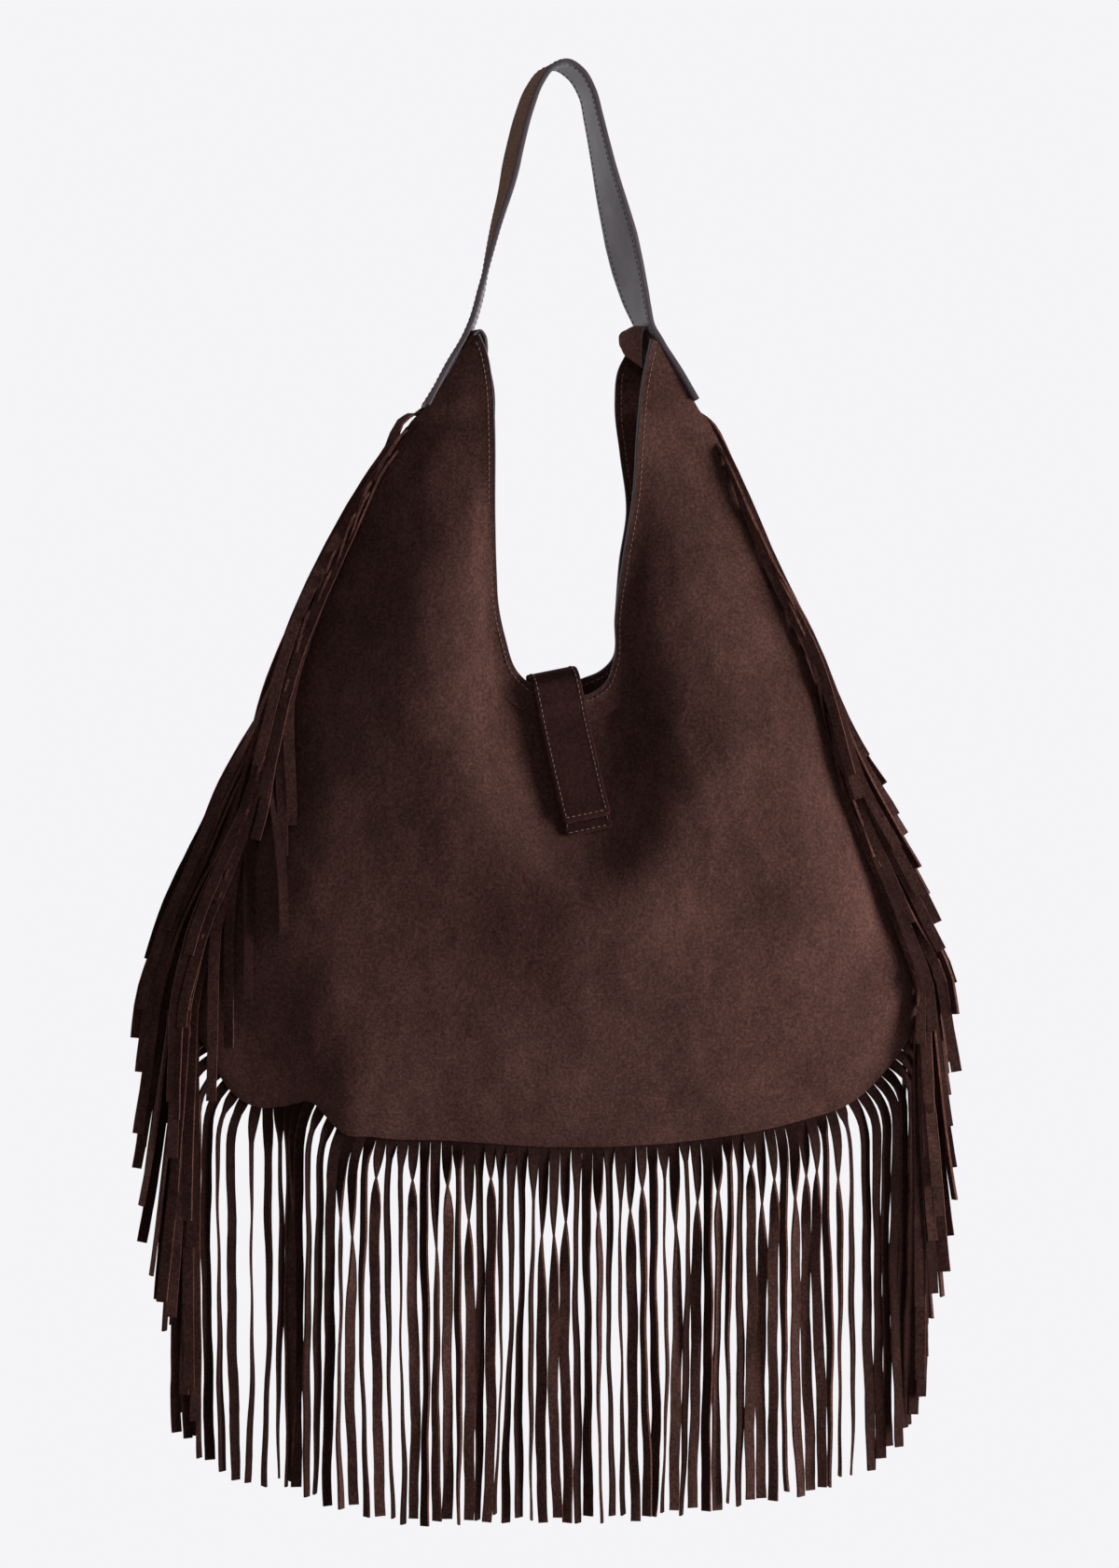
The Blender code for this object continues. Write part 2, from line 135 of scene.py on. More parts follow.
def plateFaces(n, m):
    # Quads of an n by m grid, of its twin behind it, and of the rim that joins the two.
    a = np.arange(n * m).reshape(n, m)
    top = np.stack([a[:-1, :-1], a[:-1, 1:], a[1:, 1:], a[1:, :-1]], axis=-1).reshape(-1, 4)
    ring = np.concatenate([a[:, 0], a[-1, 1:], a[-2::-1, -1], a[0, -2:0:-1]])
    after = np.roll(ring, -1)
    rim = np.stack([ring, after, after + n * m, ring + n * m], axis=-1)
    return np.concatenate([top, top[:, ::-1] + n * m, rim])


def tubeFaces(n, m):
    # Quads round a closed profile of m points carried through n stations, with flat ends.
    a = np.arange(n * m).reshape(n, m)
    b = np.roll(a, -1, axis=1)
    side = np.stack([a[:-1], b[:-1], b[1:], a[1:]], axis=-1).reshape(-1, 4)
    return side.tolist() + [a[0, ::-1].tolist(), a[-1].tolist()]


def addPiece(name, verts, faces, material, body, replaced=(), sharp=50, tone=None):
    # Puts points in millimetres and their faces in a mesh in metres, closed and facing outwards.
    mesh = bpy.data.meshes.new(name)
    faces = faces.tolist() if hasattr(faces, "tolist") else faces
    mesh.from_pydata(np.asarray(verts, float).reshape(-1, 3) * 0.001, [], faces)
    if tone is not None:
        values = np.ravel(tone).astype(np.float32)
        mesh.attributes.new("tone", "FLOAT", "FACE").data.foreach_set("value", values)
    shell = bmesh.new()
    shell.from_mesh(mesh)
    bmesh.ops.recalc_face_normals(shell, faces=shell.faces)
    shell.to_mesh(mesh)
    shell.free()
    mesh.shade_smooth()
    mesh.set_sharp_from_angle(angle=math.radians(sharp))
    mesh.materials.append(material)
    piece = bpy.data.objects.new(name, mesh)
    bpy.context.scene.collection.objects.link(piece)
    if replaced:
        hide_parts(*replaced)
    if body:
        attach(piece, body)
    return piece


def linear(hexColour):
    # An sRGB hex colour as linear red, green, blue, alpha.
    c = np.array([int(hexColour[i : i + 2], 16) for i in (1, 3, 5)]) / 255
    c = np.where(c <= 0.04045, c / 12.92, ((c + 0.055) / 1.055) ** 2.4)
    return (*c.tolist(), 1.0)


def addNode(tree, kind, inputs=None, **settings):
    # A node with its settings, and its inputs as values or as links from other nodes' sockets.
    node = tree.nodes.new(kind)
    for key, value in settings.items():
        setattr(node, key, value)
    for key, value in (inputs or {}).items():
        if isinstance(value, bpy.types.NodeSocket):
            tree.links.new(value, node.inputs[key])
        else:
            node.inputs[key].default_value = value
    return node


def newMaterial(name):
    # An empty node tree in a new material.
    material = bpy.data.materials.new(name)
    material.use_nodes = True
    material.node_tree.nodes.clear()
    return material, material.node_tree


# Calf suede: the buffed flesh side of chrome-tanned leather. Dull, with a short nap whose lie makes pale and
# dark patches a few centimetres across. Real nap is some 0.3 mm long, too fine to show, so its mottle is
# drawn at 1.7 mm.
suedeLook = {
    "deep": "#38241f",
    "mid": "#563a35",
    "light": "#745049",
    "patchMm": 38.0,
    "cloudMm": 10.0,
    "napMm": 1.7,
    "sheen": 0.10,
    "skinSide": "#787070",
}


def makeSuede(name, look, toned):
    # Three noises, patch, cloud and nap, added up on a ramp of browns, and cloud and nap again as relief.
    material, tree = newMaterial(name)
    place = addNode(tree, "ShaderNodeTexCoord").outputs["Object"]
    drawn = addNode(
        tree, "ShaderNodeMapping", {"Vector": place, "Scale": (1.0, 1.0, 0.55)}
    ).outputs["Vector"]
    patch = addNode(
        tree, "ShaderNodeTexNoise",
        {
            "Vector": drawn, "Scale": 1000 / look["patchMm"], "Detail": 3.0, "Roughness": 0.55,
            "Distortion": 0.6,
        },
    ).outputs["Fac"]
    cloud = addNode(
        tree, "ShaderNodeTexNoise",
        {"Vector": drawn, "Scale": 1000 / look["cloudMm"], "Detail": 2.0, "Roughness": 0.6},
    ).outputs["Fac"]
    nap = addNode(
        tree, "ShaderNodeTexNoise",
        {"Vector": place, "Scale": 1000 / look["napMm"], "Detail": 3.0, "Roughness": 0.55},
    ).outputs["Fac"]
    both = addNode(tree, "ShaderNodeMath", {0: patch, 1: 0.42, 2: 0.0}, operation="MULTIPLY_ADD").outputs[0]
    both = addNode(tree, "ShaderNodeMath", {0: cloud, 1: 0.22, 2: both}, operation="MULTIPLY_ADD").outputs[0]
    both = addNode(tree, "ShaderNodeMath", {0: nap, 1: 0.80, 2: both}, operation="MULTIPLY_ADD").outputs[0]
    ramp = addNode(tree, "ShaderNodeValToRGB", {"Fac": both})
    stops = ramp.color_ramp.elements
    stops[0].position, stops[0].color = 0.46, linear(look["deep"])
    stops[1].position, stops[1].color = 0.98, linear(look["light"])
    middle = stops.new(0.72)
    middle.color = linear(look["mid"])
    colour = ramp.outputs["Color"]
    if toned:
        # Tone 0 is the dark grain side of a strip, a half its suede side, and 1 its raw cut edges. Lower
        # tones over the first stations of a hanging strip are painted shade at its root.
        tone = addNode(tree, "ShaderNodeAttribute", attribute_name="tone").outputs["Fac"]
        tint = addNode(tree, "ShaderNodeValToRGB", {"Fac": tone})
        tint.color_ramp.elements[0].color = linear(look["skinSide"])
        tint.color_ramp.elements[1].color = (1.55, 1.38, 1.34, 1.0)
        tint.color_ramp.elements.new(0.5).color = (1.0, 1.0, 1.0, 1.0)
        mix = addNode(tree, "ShaderNodeMix", {0: 1.0, 6: colour, 7: tint.outputs["Color"]}, data_type="RGBA")
        mix.blend_type = "MULTIPLY"
        colour = mix.outputs[2]
    coarse = addNode(
        tree, "ShaderNodeBump", {"Height": cloud, "Strength": 0.35, "Distance": 0.0012}
    ).outputs[0]
    bump = addNode(
        tree, "ShaderNodeBump", {"Height": nap, "Normal": coarse, "Strength": 0.55, "Distance": 0.0006}
    ).outputs[0]
    shader = addNode(
        tree, "ShaderNodeBsdfPrincipled",
        {
            "Base Color": colour, "Normal": bump, "Roughness": 0.95, "Specular IOR Level": 0.06,
            "Sheen Weight": look["sheen"], "Sheen Roughness": 0.55, "Sheen Tint": linear("#b08a7c"),
        },
    )
    addNode(tree, "ShaderNodeOutputMaterial", {"Surface": shader.outputs[0]})
    return material


# Smooth calf leather, aniline dyed and rolled: a soft gloss and a very fine grain. Real grain is some 0.2 mm
# wide, too fine to show, so it is drawn at 0.8 mm.
liningLook = {"dark": "#625b60", "light": "#7d767c", "dyeScale": 45.0, "grainMm": 0.8, "roughness": 0.45}


def makeLining():
    # A slow noise for the dye between two greys, and round cells for the grain.
    material, tree = newMaterial("smoothCalfLeather")
    place = addNode(tree, "ShaderNodeTexCoord").outputs["Object"]
    tint = addNode(
        tree, "ShaderNodeTexNoise", {"Vector": place, "Scale": liningLook["dyeScale"], "Detail": 3.0}
    ).outputs["Fac"]
    grain = addNode(
        tree, "ShaderNodeTexVoronoi", {"Vector": place, "Scale": 1000 / liningLook["grainMm"]}, feature="F1"
    ).outputs["Distance"]
    ramp = addNode(tree, "ShaderNodeValToRGB", {"Fac": tint})
    stops = ramp.color_ramp.elements
    stops[0].position, stops[0].color = 0.35, linear(liningLook["dark"])
    stops[1].position, stops[1].color = 0.68, linear(liningLook["light"])
    bump = addNode(
        tree, "ShaderNodeBump", {"Height": grain, "Strength": 0.25, "Distance": 0.00015}
    ).outputs[0]
    shader = addNode(
        tree, "ShaderNodeBsdfPrincipled",
        {"Base Color": ramp.outputs["Color"], "Normal": bump, "Roughness": liningLook["roughness"]},
    )
    addNode(tree, "ShaderNodeOutputMaterial", {"Surface": shader.outputs[0]})
    return material


def makePlain(name, dark, light, scaleMm, roughness, bumpMm, metallic=0.0):
    # One colour that drifts a little, with its own fine relief.
    material, tree = newMaterial(name)
    place = addNode(tree, "ShaderNodeTexCoord").outputs["Object"]
    noise = addNode(
        tree, "ShaderNodeTexNoise",
        {"Vector": place, "Scale": 1000 / scaleMm, "Detail": 3.0, "Roughness": 0.6},
    ).outputs["Fac"]
    ramp = addNode(tree, "ShaderNodeValToRGB", {"Fac": noise})
    stops = ramp.color_ramp.elements
    stops[0].position, stops[0].color = 0.35, linear(dark)
    stops[1].position, stops[1].color = 0.70, linear(light)
    bump = addNode(
        tree, "ShaderNodeBump", {"Height": noise, "Strength": 0.4, "Distance": bumpMm * 0.001}
    ).outputs[0]
    shader = addNode(
        tree, "ShaderNodeBsdfPrincipled",
        {"Base Color": ramp.outputs["Color"], "Normal": bump, "Roughness": roughness, "Metallic": metallic},
    )
    addNode(tree, "ShaderNodeOutputMaterial", {"Surface": shader.outputs[0]})
    return material


tabLook = dict(suedeLook, deep="#2c1b19", mid="#3c2523", light="#50332f")
# Painted sheen: the strap's suede is lighter and warmer than the bag's, standing in for the sheen its outer
# face catches at grazing angles from the light on the left.
strapPaintedSheenLook = dict(suedeLook, deep="#4e3a30", mid="#6f5446", light="#8a6a5a")
foldLook = dict(suedeLook, deep="#452d28", mid="#6b4a43", light="#8c645b")
suedeMat = makeSuede("brownCalfSuede", suedeLook, False)
stripMat = makeSuede("brownSuedeFringe", dict(suedeLook, patchMm=20.0), True)
liningMat = makeLining()
tabMat = makeSuede("darkerSuedeTab", tabLook, True)
strapPaintedSheenMat = makeSuede("strapSuedePaintedSheen", strapPaintedSheenLook, False)
foldMat = makeSuede("suedeTipBridge", foldLook, False)
# Acrylic edge paint, brushed on in coats: a dull to satin bead that hides the cut plies.
edgeMat = makePlain("burnishedEdgePaint", "#362f33", "#4b4348", scaleMm=4.0, roughness=0.75, bumpMm=0.05)
strapEdgeMat = makePlain("brownEdgePaint", "#3c3136", "#4d4047", scaleMm=4.0, roughness=0.60, bumpMm=0.05)
# Leather creased with a hot iron: a dark, slightly glossy line beside the edge.
creaseMat = makePlain("heatCreasedLine", "#1c1719", "#29242a", scaleMm=4.0, roughness=0.55, bumpMm=0.05)
# Bonded nylon thread, twisted and slightly glossy: brown on the bag, dark on the strap.
threadMat = makePlain("bondedNylonThread", "#85645b", "#a07f75", scaleMm=0.6, roughness=0.60, bumpMm=0.05)
darkThreadMat = makePlain("darkNylonThread", "#252023", "#353034", scaleMm=0.6, roughness=0.60, bumpMm=0.05)
# Nickel-plated steel, pressed: bright satin.
steelMat = makePlain(
    "nickelPlatedSteel", "#8d8a85", "#a5a29d", scaleMm=3.0, roughness=0.30, bumpMm=0.01, metallic=1.0
)
print("materials made")

# The bag's body, the same surface as the solids with its ridge, hollow and folds.
bagShape = {
    "suede": 1.5,
    "facingWidth": 15.0,
    "facingThick": 1.2,
    "facingGap": 0.45,
    "tape": 1.4,
    "ridge": [
        (-50, -222), (-60, -262), (-66, -310), (-67, -350), (-63, -395), (-46, -440), (-16, -474),
        (12, -484), (42, -472), (63, -440), (70, -402), (62, -350), (54, -300), (49, -255), (47, -222),
    ],
    "ridgeHeight": (
        [0, 0.30, 0.42, 0.58, 0.70, 0.80, 0.88, 1], [13.5, 13.5, 11.6, 10.8, 10.6, 8.0, 4.5, 2.5]
    ),
    "ridgeInside": ([0, 0.42, 0.55, 0.66, 0.78, 1], [22.0, 22.0, 24.0, 27.0, 22.0, 16.0]),
    "ridgeOutside": ([0, 0.42, 0.60, 1], [40.0, 42.0, 36.0, 36.0]),
    "hollow": 5.2,
    "backShare": 0.45,
    "rim": 0.8,
    "flankRim": 4.4,
    "tipRuns": [46, 60],
    "tipGaps": [13, 9],
    "slackMm": (1.1, 0.35),
    "stitchIn": 3.2,
}
seamLine, seamLength = smoothLine(outlines["seam"], 2401)
mouthLine = {-1: smoothLine(outlines["frontMouth"], 1201)[0], 1: smoothLine(outlines["backMouth"], 1201)[0]}
mouthShare = softTable([0, 0.095, 0.30, 0.5, 0.70, 0.905, 1], [0, 0.235, 0.40, 0.5, 0.60, 0.765, 1], 0.06)
mouthGap = softTable(
    [0, 0.1, 0.25, 0.38, 0.44, 0.56, 0.62, 0.75, 0.9, 1], [15, 16, 14, 10, 8, 8, 10, 14, 16, 15], 0.06
)
bulgeOf = softTable(
    [0, 0.05, 0.12, 0.25, 0.36, 0.5, 0.64, 0.75, 0.88, 0.95, 1], [0, 2, 7, 20, 30, 34, 30, 20, 7, 2, 0], 0.06
)


def bagPoints(side, s, t):
    # In x z the mouth edge blended to the seam; in depth the gap at each edge plus the bulge times a sine.
    s = np.asarray(s, float)
    t = np.asarray(t, float)
    f = mouthShare(s)
    xz = along(mouthLine[side], f) * (1 - t)[..., None] + along(seamLine, s) * t[..., None]
    a = np.minimum(s, 1 - s) * seamLength
    closed = bagShape["suede"] / 2 + bagShape["tape"] / 2 + 0.3
    seamGap = np.interp(a, [0, *bagShape["tipRuns"]], [*bagShape["tipGaps"], closed])
    half = mouthGap(f) * (1 - t) + seamGap * t + bulgeOf(s) * np.sin(np.pi * t**1.35) ** 0.9
    return np.stack([xz[..., 0], side * half, xz[..., 1]], axis=-1)


def sideOf(points, line):
    # Distance of each x z point to a line, positive on the left of its direction of travel.
    p = points.reshape(-1, 1, 2)
    a, b = line[:-1], line[1:]
    run = b - a
    k = np.clip(((p - a) * run).sum(-1) / (run * run).sum(-1), 0, 1)
    foot = a + k[..., None] * run
    gap = p - foot
    dist = np.linalg.norm(gap, axis=-1)
    near = dist.argmin(axis=1)
    row = np.arange(len(near))
    sign = np.sign(run[near, 0] * gap[row, near, 1] - run[near, 1] * gap[row, near, 0])
    share = (near + k[row, near]) / len(a)
    return (sign * dist[row, near]).reshape(points.shape[:-1]), share.reshape(points.shape[:-1])


def waves(x, z, seed, size, count=14):
    # A sum of sine waves in random directions, about size millimetres long, between about -1 and 1.
    rng = np.random.default_rng(seed)
    turn = rng.uniform(0, 2 * np.pi, count)
    length = size * rng.uniform(0.6, 1.7, count)
    phase = rng.uniform(0, 2 * np.pi, count)
    total = np.zeros_like(x)
    for k in range(count):
        total += np.sin(2 * np.pi * (x * np.cos(turn[k]) + z * np.sin(turn[k])) / length[k] + phase[k])
    return total / math.sqrt(count)


# The crease pushed into the lower left corner. A hump is its height, its x and its width.
cornerFold = {
    "humps": [(7.6, -144, 9.5), (-3.4, -124, 9), (4.8, -76, 38)],
    "humpsFrom": -612.0,
    "humpsOver": 42.0,
    "wing": (17.0, -213, 15),
    "wingFrom": -590.0,
    "wingOver": 60.0,
    "creaseX": -142.0,
    "creaseLean": 0.09,
    "creaseLow": -612.0,
    "creaseHigh": -490.0,
    "back": 9.0,
    "backFrom": 24,
    "backOver": 28,
    "backFade": 0.75,
    "backFadeOver": 44,
    "bulge": 6.5,
    "bulgeAt": 16,
    "bulgeWidths": (15.0, 38.0),
}


def hump(x, height, place, width):
    # Height times e to the minus square of the distance in widths.
    return height * np.exp(-(((x - place) / width) ** 2))


def cornerLift(x, z):
    # The seam's step at the crease: up where the suede is pushed in, down beside it, up at the outer wing.
    fold = cornerFold
    rise = sum(hump(x, *shape) for shape in fold["humps"])
    wing = hump(x, *fold["wing"]) * (1 - ease((z - fold["wingFrom"]) / fold["wingOver"]))
    return rise * (1 - ease((z - fold["humpsFrom"]) / fold["humpsOver"])) + wing


def cornerShift(x, z):
    # How far the suede and its fringe stand back (+) or forward (-) beside the crease.
    fold = cornerFold
    u = x - fold["creaseX"] + fold["creaseLean"] * (z + 600)
    high = 1 - ease((z - fold["creaseLow"]) / (fold["creaseHigh"] - fold["creaseLow"]))
    fade = 1 - fold["backFade"] * ease((-u - fold["backFrom"]) / fold["backFadeOver"])
    back = fold["back"] * (1 - ease((u + fold["backFrom"]) / fold["backOver"])) * fade
    wide = np.where(u < fold["bulgeAt"], *fold["bulgeWidths"])
    bulge = fold["bulge"] * np.exp(-((u - fold["bulgeAt"]) ** 2) / wide**2)
    return (back - bulge) * high


def panelGrid(side, n, m):
    # The half depth plus a U ridge round the mouth, a bell curve across its line, and slack of sine waves.
    s, t = np.meshgrid(np.linspace(0, 1, n), 1 - (1 - np.linspace(0, 1, m)) ** 1.25, indexing="ij")
    p = bagPoints(side, s, t)
    a = np.minimum(s, 1 - s) * seamLength
    flank = ease((a - 44) / 14) * ease((470 - a) / 50)
    rim = bagShape["rim"] + (bagShape["flankRim"] - bagShape["rim"]) * flank
    flow = unit(np.gradient(along(seamLine, s[:, 0]), axis=0))
    out = np.stack([flow[:, 1], -flow[:, 0]], axis=1)
    grow = (rim * ease((t - 0.7) / 0.3))[..., None] * out[:, None, :]
    p[..., [0, 2]] += grow
    p[..., 2] += cornerLift(p[..., 0], p[..., 2])
    xz = p[..., [0, 2]]
    reach = np.linalg.norm(p[:, -1:] - p[:, :1], axis=-1)
    fromMouth = ease(t * reach / 16)
    fromSeam = ease((1 - t) * reach / 22)
    near, share = sideOf(xz, smoothLine(bagShape["ridge"], 160)[0])
    wide = np.where(
        near > 0, np.interp(share, *bagShape["ridgeInside"]), np.interp(share, *bagShape["ridgeOutside"])
    )
    fade = ease(share / 0.16) * ease((1 - share) / 0.16)
    high = np.interp(share, *bagShape["ridgeHeight"])
    lift = fade * (high * np.exp(-((near / wide) ** 2)) - bagShape["hollow"] * ease((near - 8) / 36))
    if side > 0:
        lift = bagShape["backShare"] * lift
    broad, small = bagShape["slackMm"]
    slack = broad * waves(xz[..., 0], xz[..., 1] * 0.7, 11 + side, 95)
    slack = slack + small * waves(xz[..., 0], xz[..., 1], 5 + side, 34)
    p[..., 1] += side * (lift + slack) * fromMouth * fromSeam
    return p


def normalsOf(grid, side):
    # The cross product of the two ways along the grid, turned outwards.
    n = unit(np.cross(np.gradient(grid, axis=0), np.gradient(grid, axis=1)))
    return n * np.where(n[..., 1:2] * side >= 0, 1.0, -1.0)


def makePanel(name, side, n, m, node):
    # The surface moved half a thickness each way along its normal, kept clear of the tape at the seam.
    grid = panelGrid(side, n, m)
    normal = normalsOf(grid, side)
    outer = grid + normal * bagShape["suede"] / 2
    inner = grid - normal * bagShape["suede"] / 2
    floor = bagShape["tape"] / 2 + 0.3
    inner[..., 1] = side * np.maximum(side * inner[..., 1], floor)
    outer[..., 1] = side * np.maximum(side * outer[..., 1], floor + bagShape["suede"])
    outer[:, -1, 1] -= side * 0.5
    for sheet in (inner, outer):
        sheet[..., 1] += cornerShift(sheet[..., 0], sheet[..., 2])
    verts = np.concatenate([outer.reshape(-1, 3), inner.reshape(-1, 3)])
    panel = addPiece(name, verts, plateFaces(n, m), suedeMat, "bag", [node])
    return outer


def mouthRows(side, count, depth):
    # Points depth millimetres in from a mouth edge, evenly along it, the surface normal and the way out.
    s = np.linspace(0, 1, 1600)
    edge = bagPoints(side, s, np.zeros_like(s))
    reach = np.linalg.norm(bagPoints(side, s, np.ones_like(s)) - edge, axis=-1)
    run = np.concatenate([[0.0], np.cumsum(np.linalg.norm(np.diff(edge, axis=0), axis=1))])
    s = np.interp(np.linspace(0, run[-1], count), run, s)
    reach = np.interp(s, np.linspace(0, 1, 1600), reach)
    t = np.minimum(depth / reach, 0.45)
    p = bagPoints(side, s, t)
    further = bagPoints(side, s, t + 1.0 / reach)
    flow = unit(np.gradient(p, axis=0))
    out = unit(p - further)
    normal = unit(np.cross(flow, out))
    normal *= np.where(normal[:, 1:2] * side >= 0, 1.0, -1.0)
    return p, normal, out


def makeFacing(name, side, node):
    # A second ply inside the mouth: rows 0 to 15 mm in from the edge, set in by the panel's thickness.
    rows = [mouthRows(side, 360, d) for d in np.linspace(0, bagShape["facingWidth"], 7)]
    p = np.stack([r[0] for r in rows], axis=1)[16:-16]
    n = np.stack([r[1] for r in rows], axis=1)[16:-16]
    near = bagShape["suede"] / 2 + bagShape["facingGap"]
    outer = p - n * near
    inner = p - n * (near + bagShape["facingThick"])
    verts = np.concatenate([outer.reshape(-1, 3), inner.reshape(-1, 3)])
    addPiece(name, verts, plateFaces(*p.shape[:2]), suedeMat, "bag", [node])


def makeBead(name, centre, acrossAxis, thickAxis, across, thick, material, body):
    # A painted edge: an oval carried along the edge, its long way over the plies.
    turn = np.linspace(0, 2 * np.pi, 12, endpoint=False)
    ring = np.cos(turn)[None, :, None] * acrossAxis[:, None, :] * across
    ring = ring + np.sin(turn)[None, :, None] * thickAxis[:, None, :] * thick
    verts = centre[:, None, :] + ring
    return addPiece(name, verts, tubeFaces(len(centre), 12), material, body)


def capsule(rings=5, sides=6):
    # A stitch: radius = square root of 1 - x to the fourth along its length, flattened where it bites.
    x = np.linspace(-1, 1, rings)
    r = np.sqrt(np.clip(1 - x**4, 0.05, 1))
    turn = np.linspace(0, 2 * np.pi, sides, endpoint=False)
    y = (r[:, None] * np.cos(turn)).ravel()
    z = (r[:, None] * np.sin(turn)).ravel()
    return np.stack([np.repeat(x, sides), y, z], axis=1), tubeFaces(rings, sides)


def makeStitches(name, rows, body, material=threadMat, length=2.5, radius=0.29):
    # One capsule at each point: x along the seam, y across it, z out of the suede, sunk by half its radius.
    shape, faces = capsule()
    verts = []
    allFaces = []
    count = 0
    for p, flow, normal in rows:
        across = np.cross(normal, flow)
        dip = 1 - 0.9 * shape[:, 0] ** 2
        stitch = (
            shape[None, :, 0, None] * flow[:, None, :] * length / 2
            + shape[None, :, 1, None] * across[:, None, :] * radius
            + (shape[:, 2] * radius + dip * radius * 0.8)[None, :, None] * normal[:, None, :]
        )
        points = (p[:, None, :] + stitch).reshape(-1, 3)
        verts.append(points)
        for k in range(len(p)):
            base = count + k * len(shape)
            allFaces += [[base + v for v in f] for f in faces]
        count += len(points)
    return addPiece(name, np.concatenate(verts), allFaces, material, body, sharp=80)


def stitchRow(line, normal, pitch=3.3, start=2.0):
    # Even points along a line, with its direction and the normal there.
    run = np.concatenate([[0.0], np.cumsum(np.linalg.norm(np.diff(line, axis=0), axis=1))])
    at = np.arange(start, run[-1] - start, pitch)
    p = np.stack([np.interp(at, run, line[:, c]) for c in range(3)], axis=1)
    q = np.stack([np.interp(at + 0.4, run, line[:, c]) for c in range(3)], axis=1)
    n = np.stack([np.interp(at, run, normal[:, c]) for c in range(3)], axis=1)
    flow = unit(q - p)
    n = unit(n - flow * (n * flow).sum(axis=1, keepdims=True))
    return p, flow, n


frontOuter = makePanel("suedeFront", -1, 400, 84, "front_panel")
backOuter = makePanel("suedeBack", 1, 320, 64, "back_panel")
makeFacing("frontFacing", -1, "front_mouth_facing")
makeFacing("backFacing", 1, "back_mouth_facing")
print("panels and facings made")

mouthStitches = []
for side, label in ((-1, "front"), (1, "back")):
    p, normal, out = mouthRows(side, 420, 0.0)
    total = bagShape["suede"] + bagShape["facingGap"] + bagShape["facingThick"]
    centre = p + normal * (bagShape["suede"] / 2 - total / 2) + out * 0.05
    makeBead(label + "MouthEdge", centre, out, normal, 0.55, total / 2 + 0.12, edgeMat, "bag")
    p, normal, _ = mouthRows(side, 700, bagShape["stitchIn"])
    mouthStitches.append(stitchRow(p + normal * (bagShape["suede"] / 2 - 0.1), normal, start=5.0))
    mouthStitches.append(stitchRow(p - normal * (total - bagShape["suede"] / 2 - 0.1), -normal, start=14.0))
makeStitches("mouthStitches", mouthStitches, "bag")
print("mouth edge made")

# The strap: suede outside, smooth leather inside, both edges painted.
strapShape = {
    "width": 28.0,
    "ply": 1.4,
    "join": 0.15,
    "stations": 260,
    "turnAt": [
        0, 0.07, 0.17, 0.24, 0.34, 0.43, 0.5, 0.56, 0.62, 0.66, 0.71, 0.76, 0.80, 0.84, 0.88, 0.92, 1,
    ],
    "turnDegrees": [0, -7, -8, 0, 11, 11, 10, 8, 12, 16, 24, 31, 29, 22, 10, 0, 0],
    "skew": 0.14,
    "creaseIn": 1.3,
    "stitchIn": 2.6,
}


def strapFrames(count):
    # The mid line, skewed to front and back, with its width turned about the upright to show its lining.
    line, _ = smoothLine([(x, 0.0, z) for x, z in outlines["strap"]], count)
    share = np.linspace(0, 1, count)
    a = np.radians(softTable(strapShape["turnAt"], strapShape["turnDegrees"], 0.02)(share))
    skew = strapShape["skew"] * line[:, 0] * np.cos(np.pi * (share - 0.5) / 0.8) ** 2
    line[:, 1] = np.where(np.abs(share - 0.5) < 0.4, skew, 0)
    width = np.stack([-np.sin(a), np.cos(a), np.zeros(count)], axis=1)
    flow = unit(np.gradient(line, axis=0))
    width = unit(width - flow * (width * flow).sum(axis=1, keepdims=True))
    normal = np.cross(width, flow)
    normal *= np.sign(normal[count // 2, 2])
    return line, width, normal


def bandGrid(line, width, normal, half, thick, columns=15):
    # A band through its stations: its two faces close in over the last 0.7 mm, as a quarter circle does.
    u = np.sin(np.linspace(-np.pi / 2, np.pi / 2, columns))
    margin = half * (1 - np.abs(u))
    close = np.sqrt(1 - (1 - np.clip(margin / 0.7, 0, 1)) ** 2) * 0.75 + 0.25
    mid = line[:, None, :] + width[:, None, :] * (u * half)[None, :, None]
    lift = (close * thick / 2)[None, :, None] * normal[:, None, :]
    return mid + lift, mid - lift


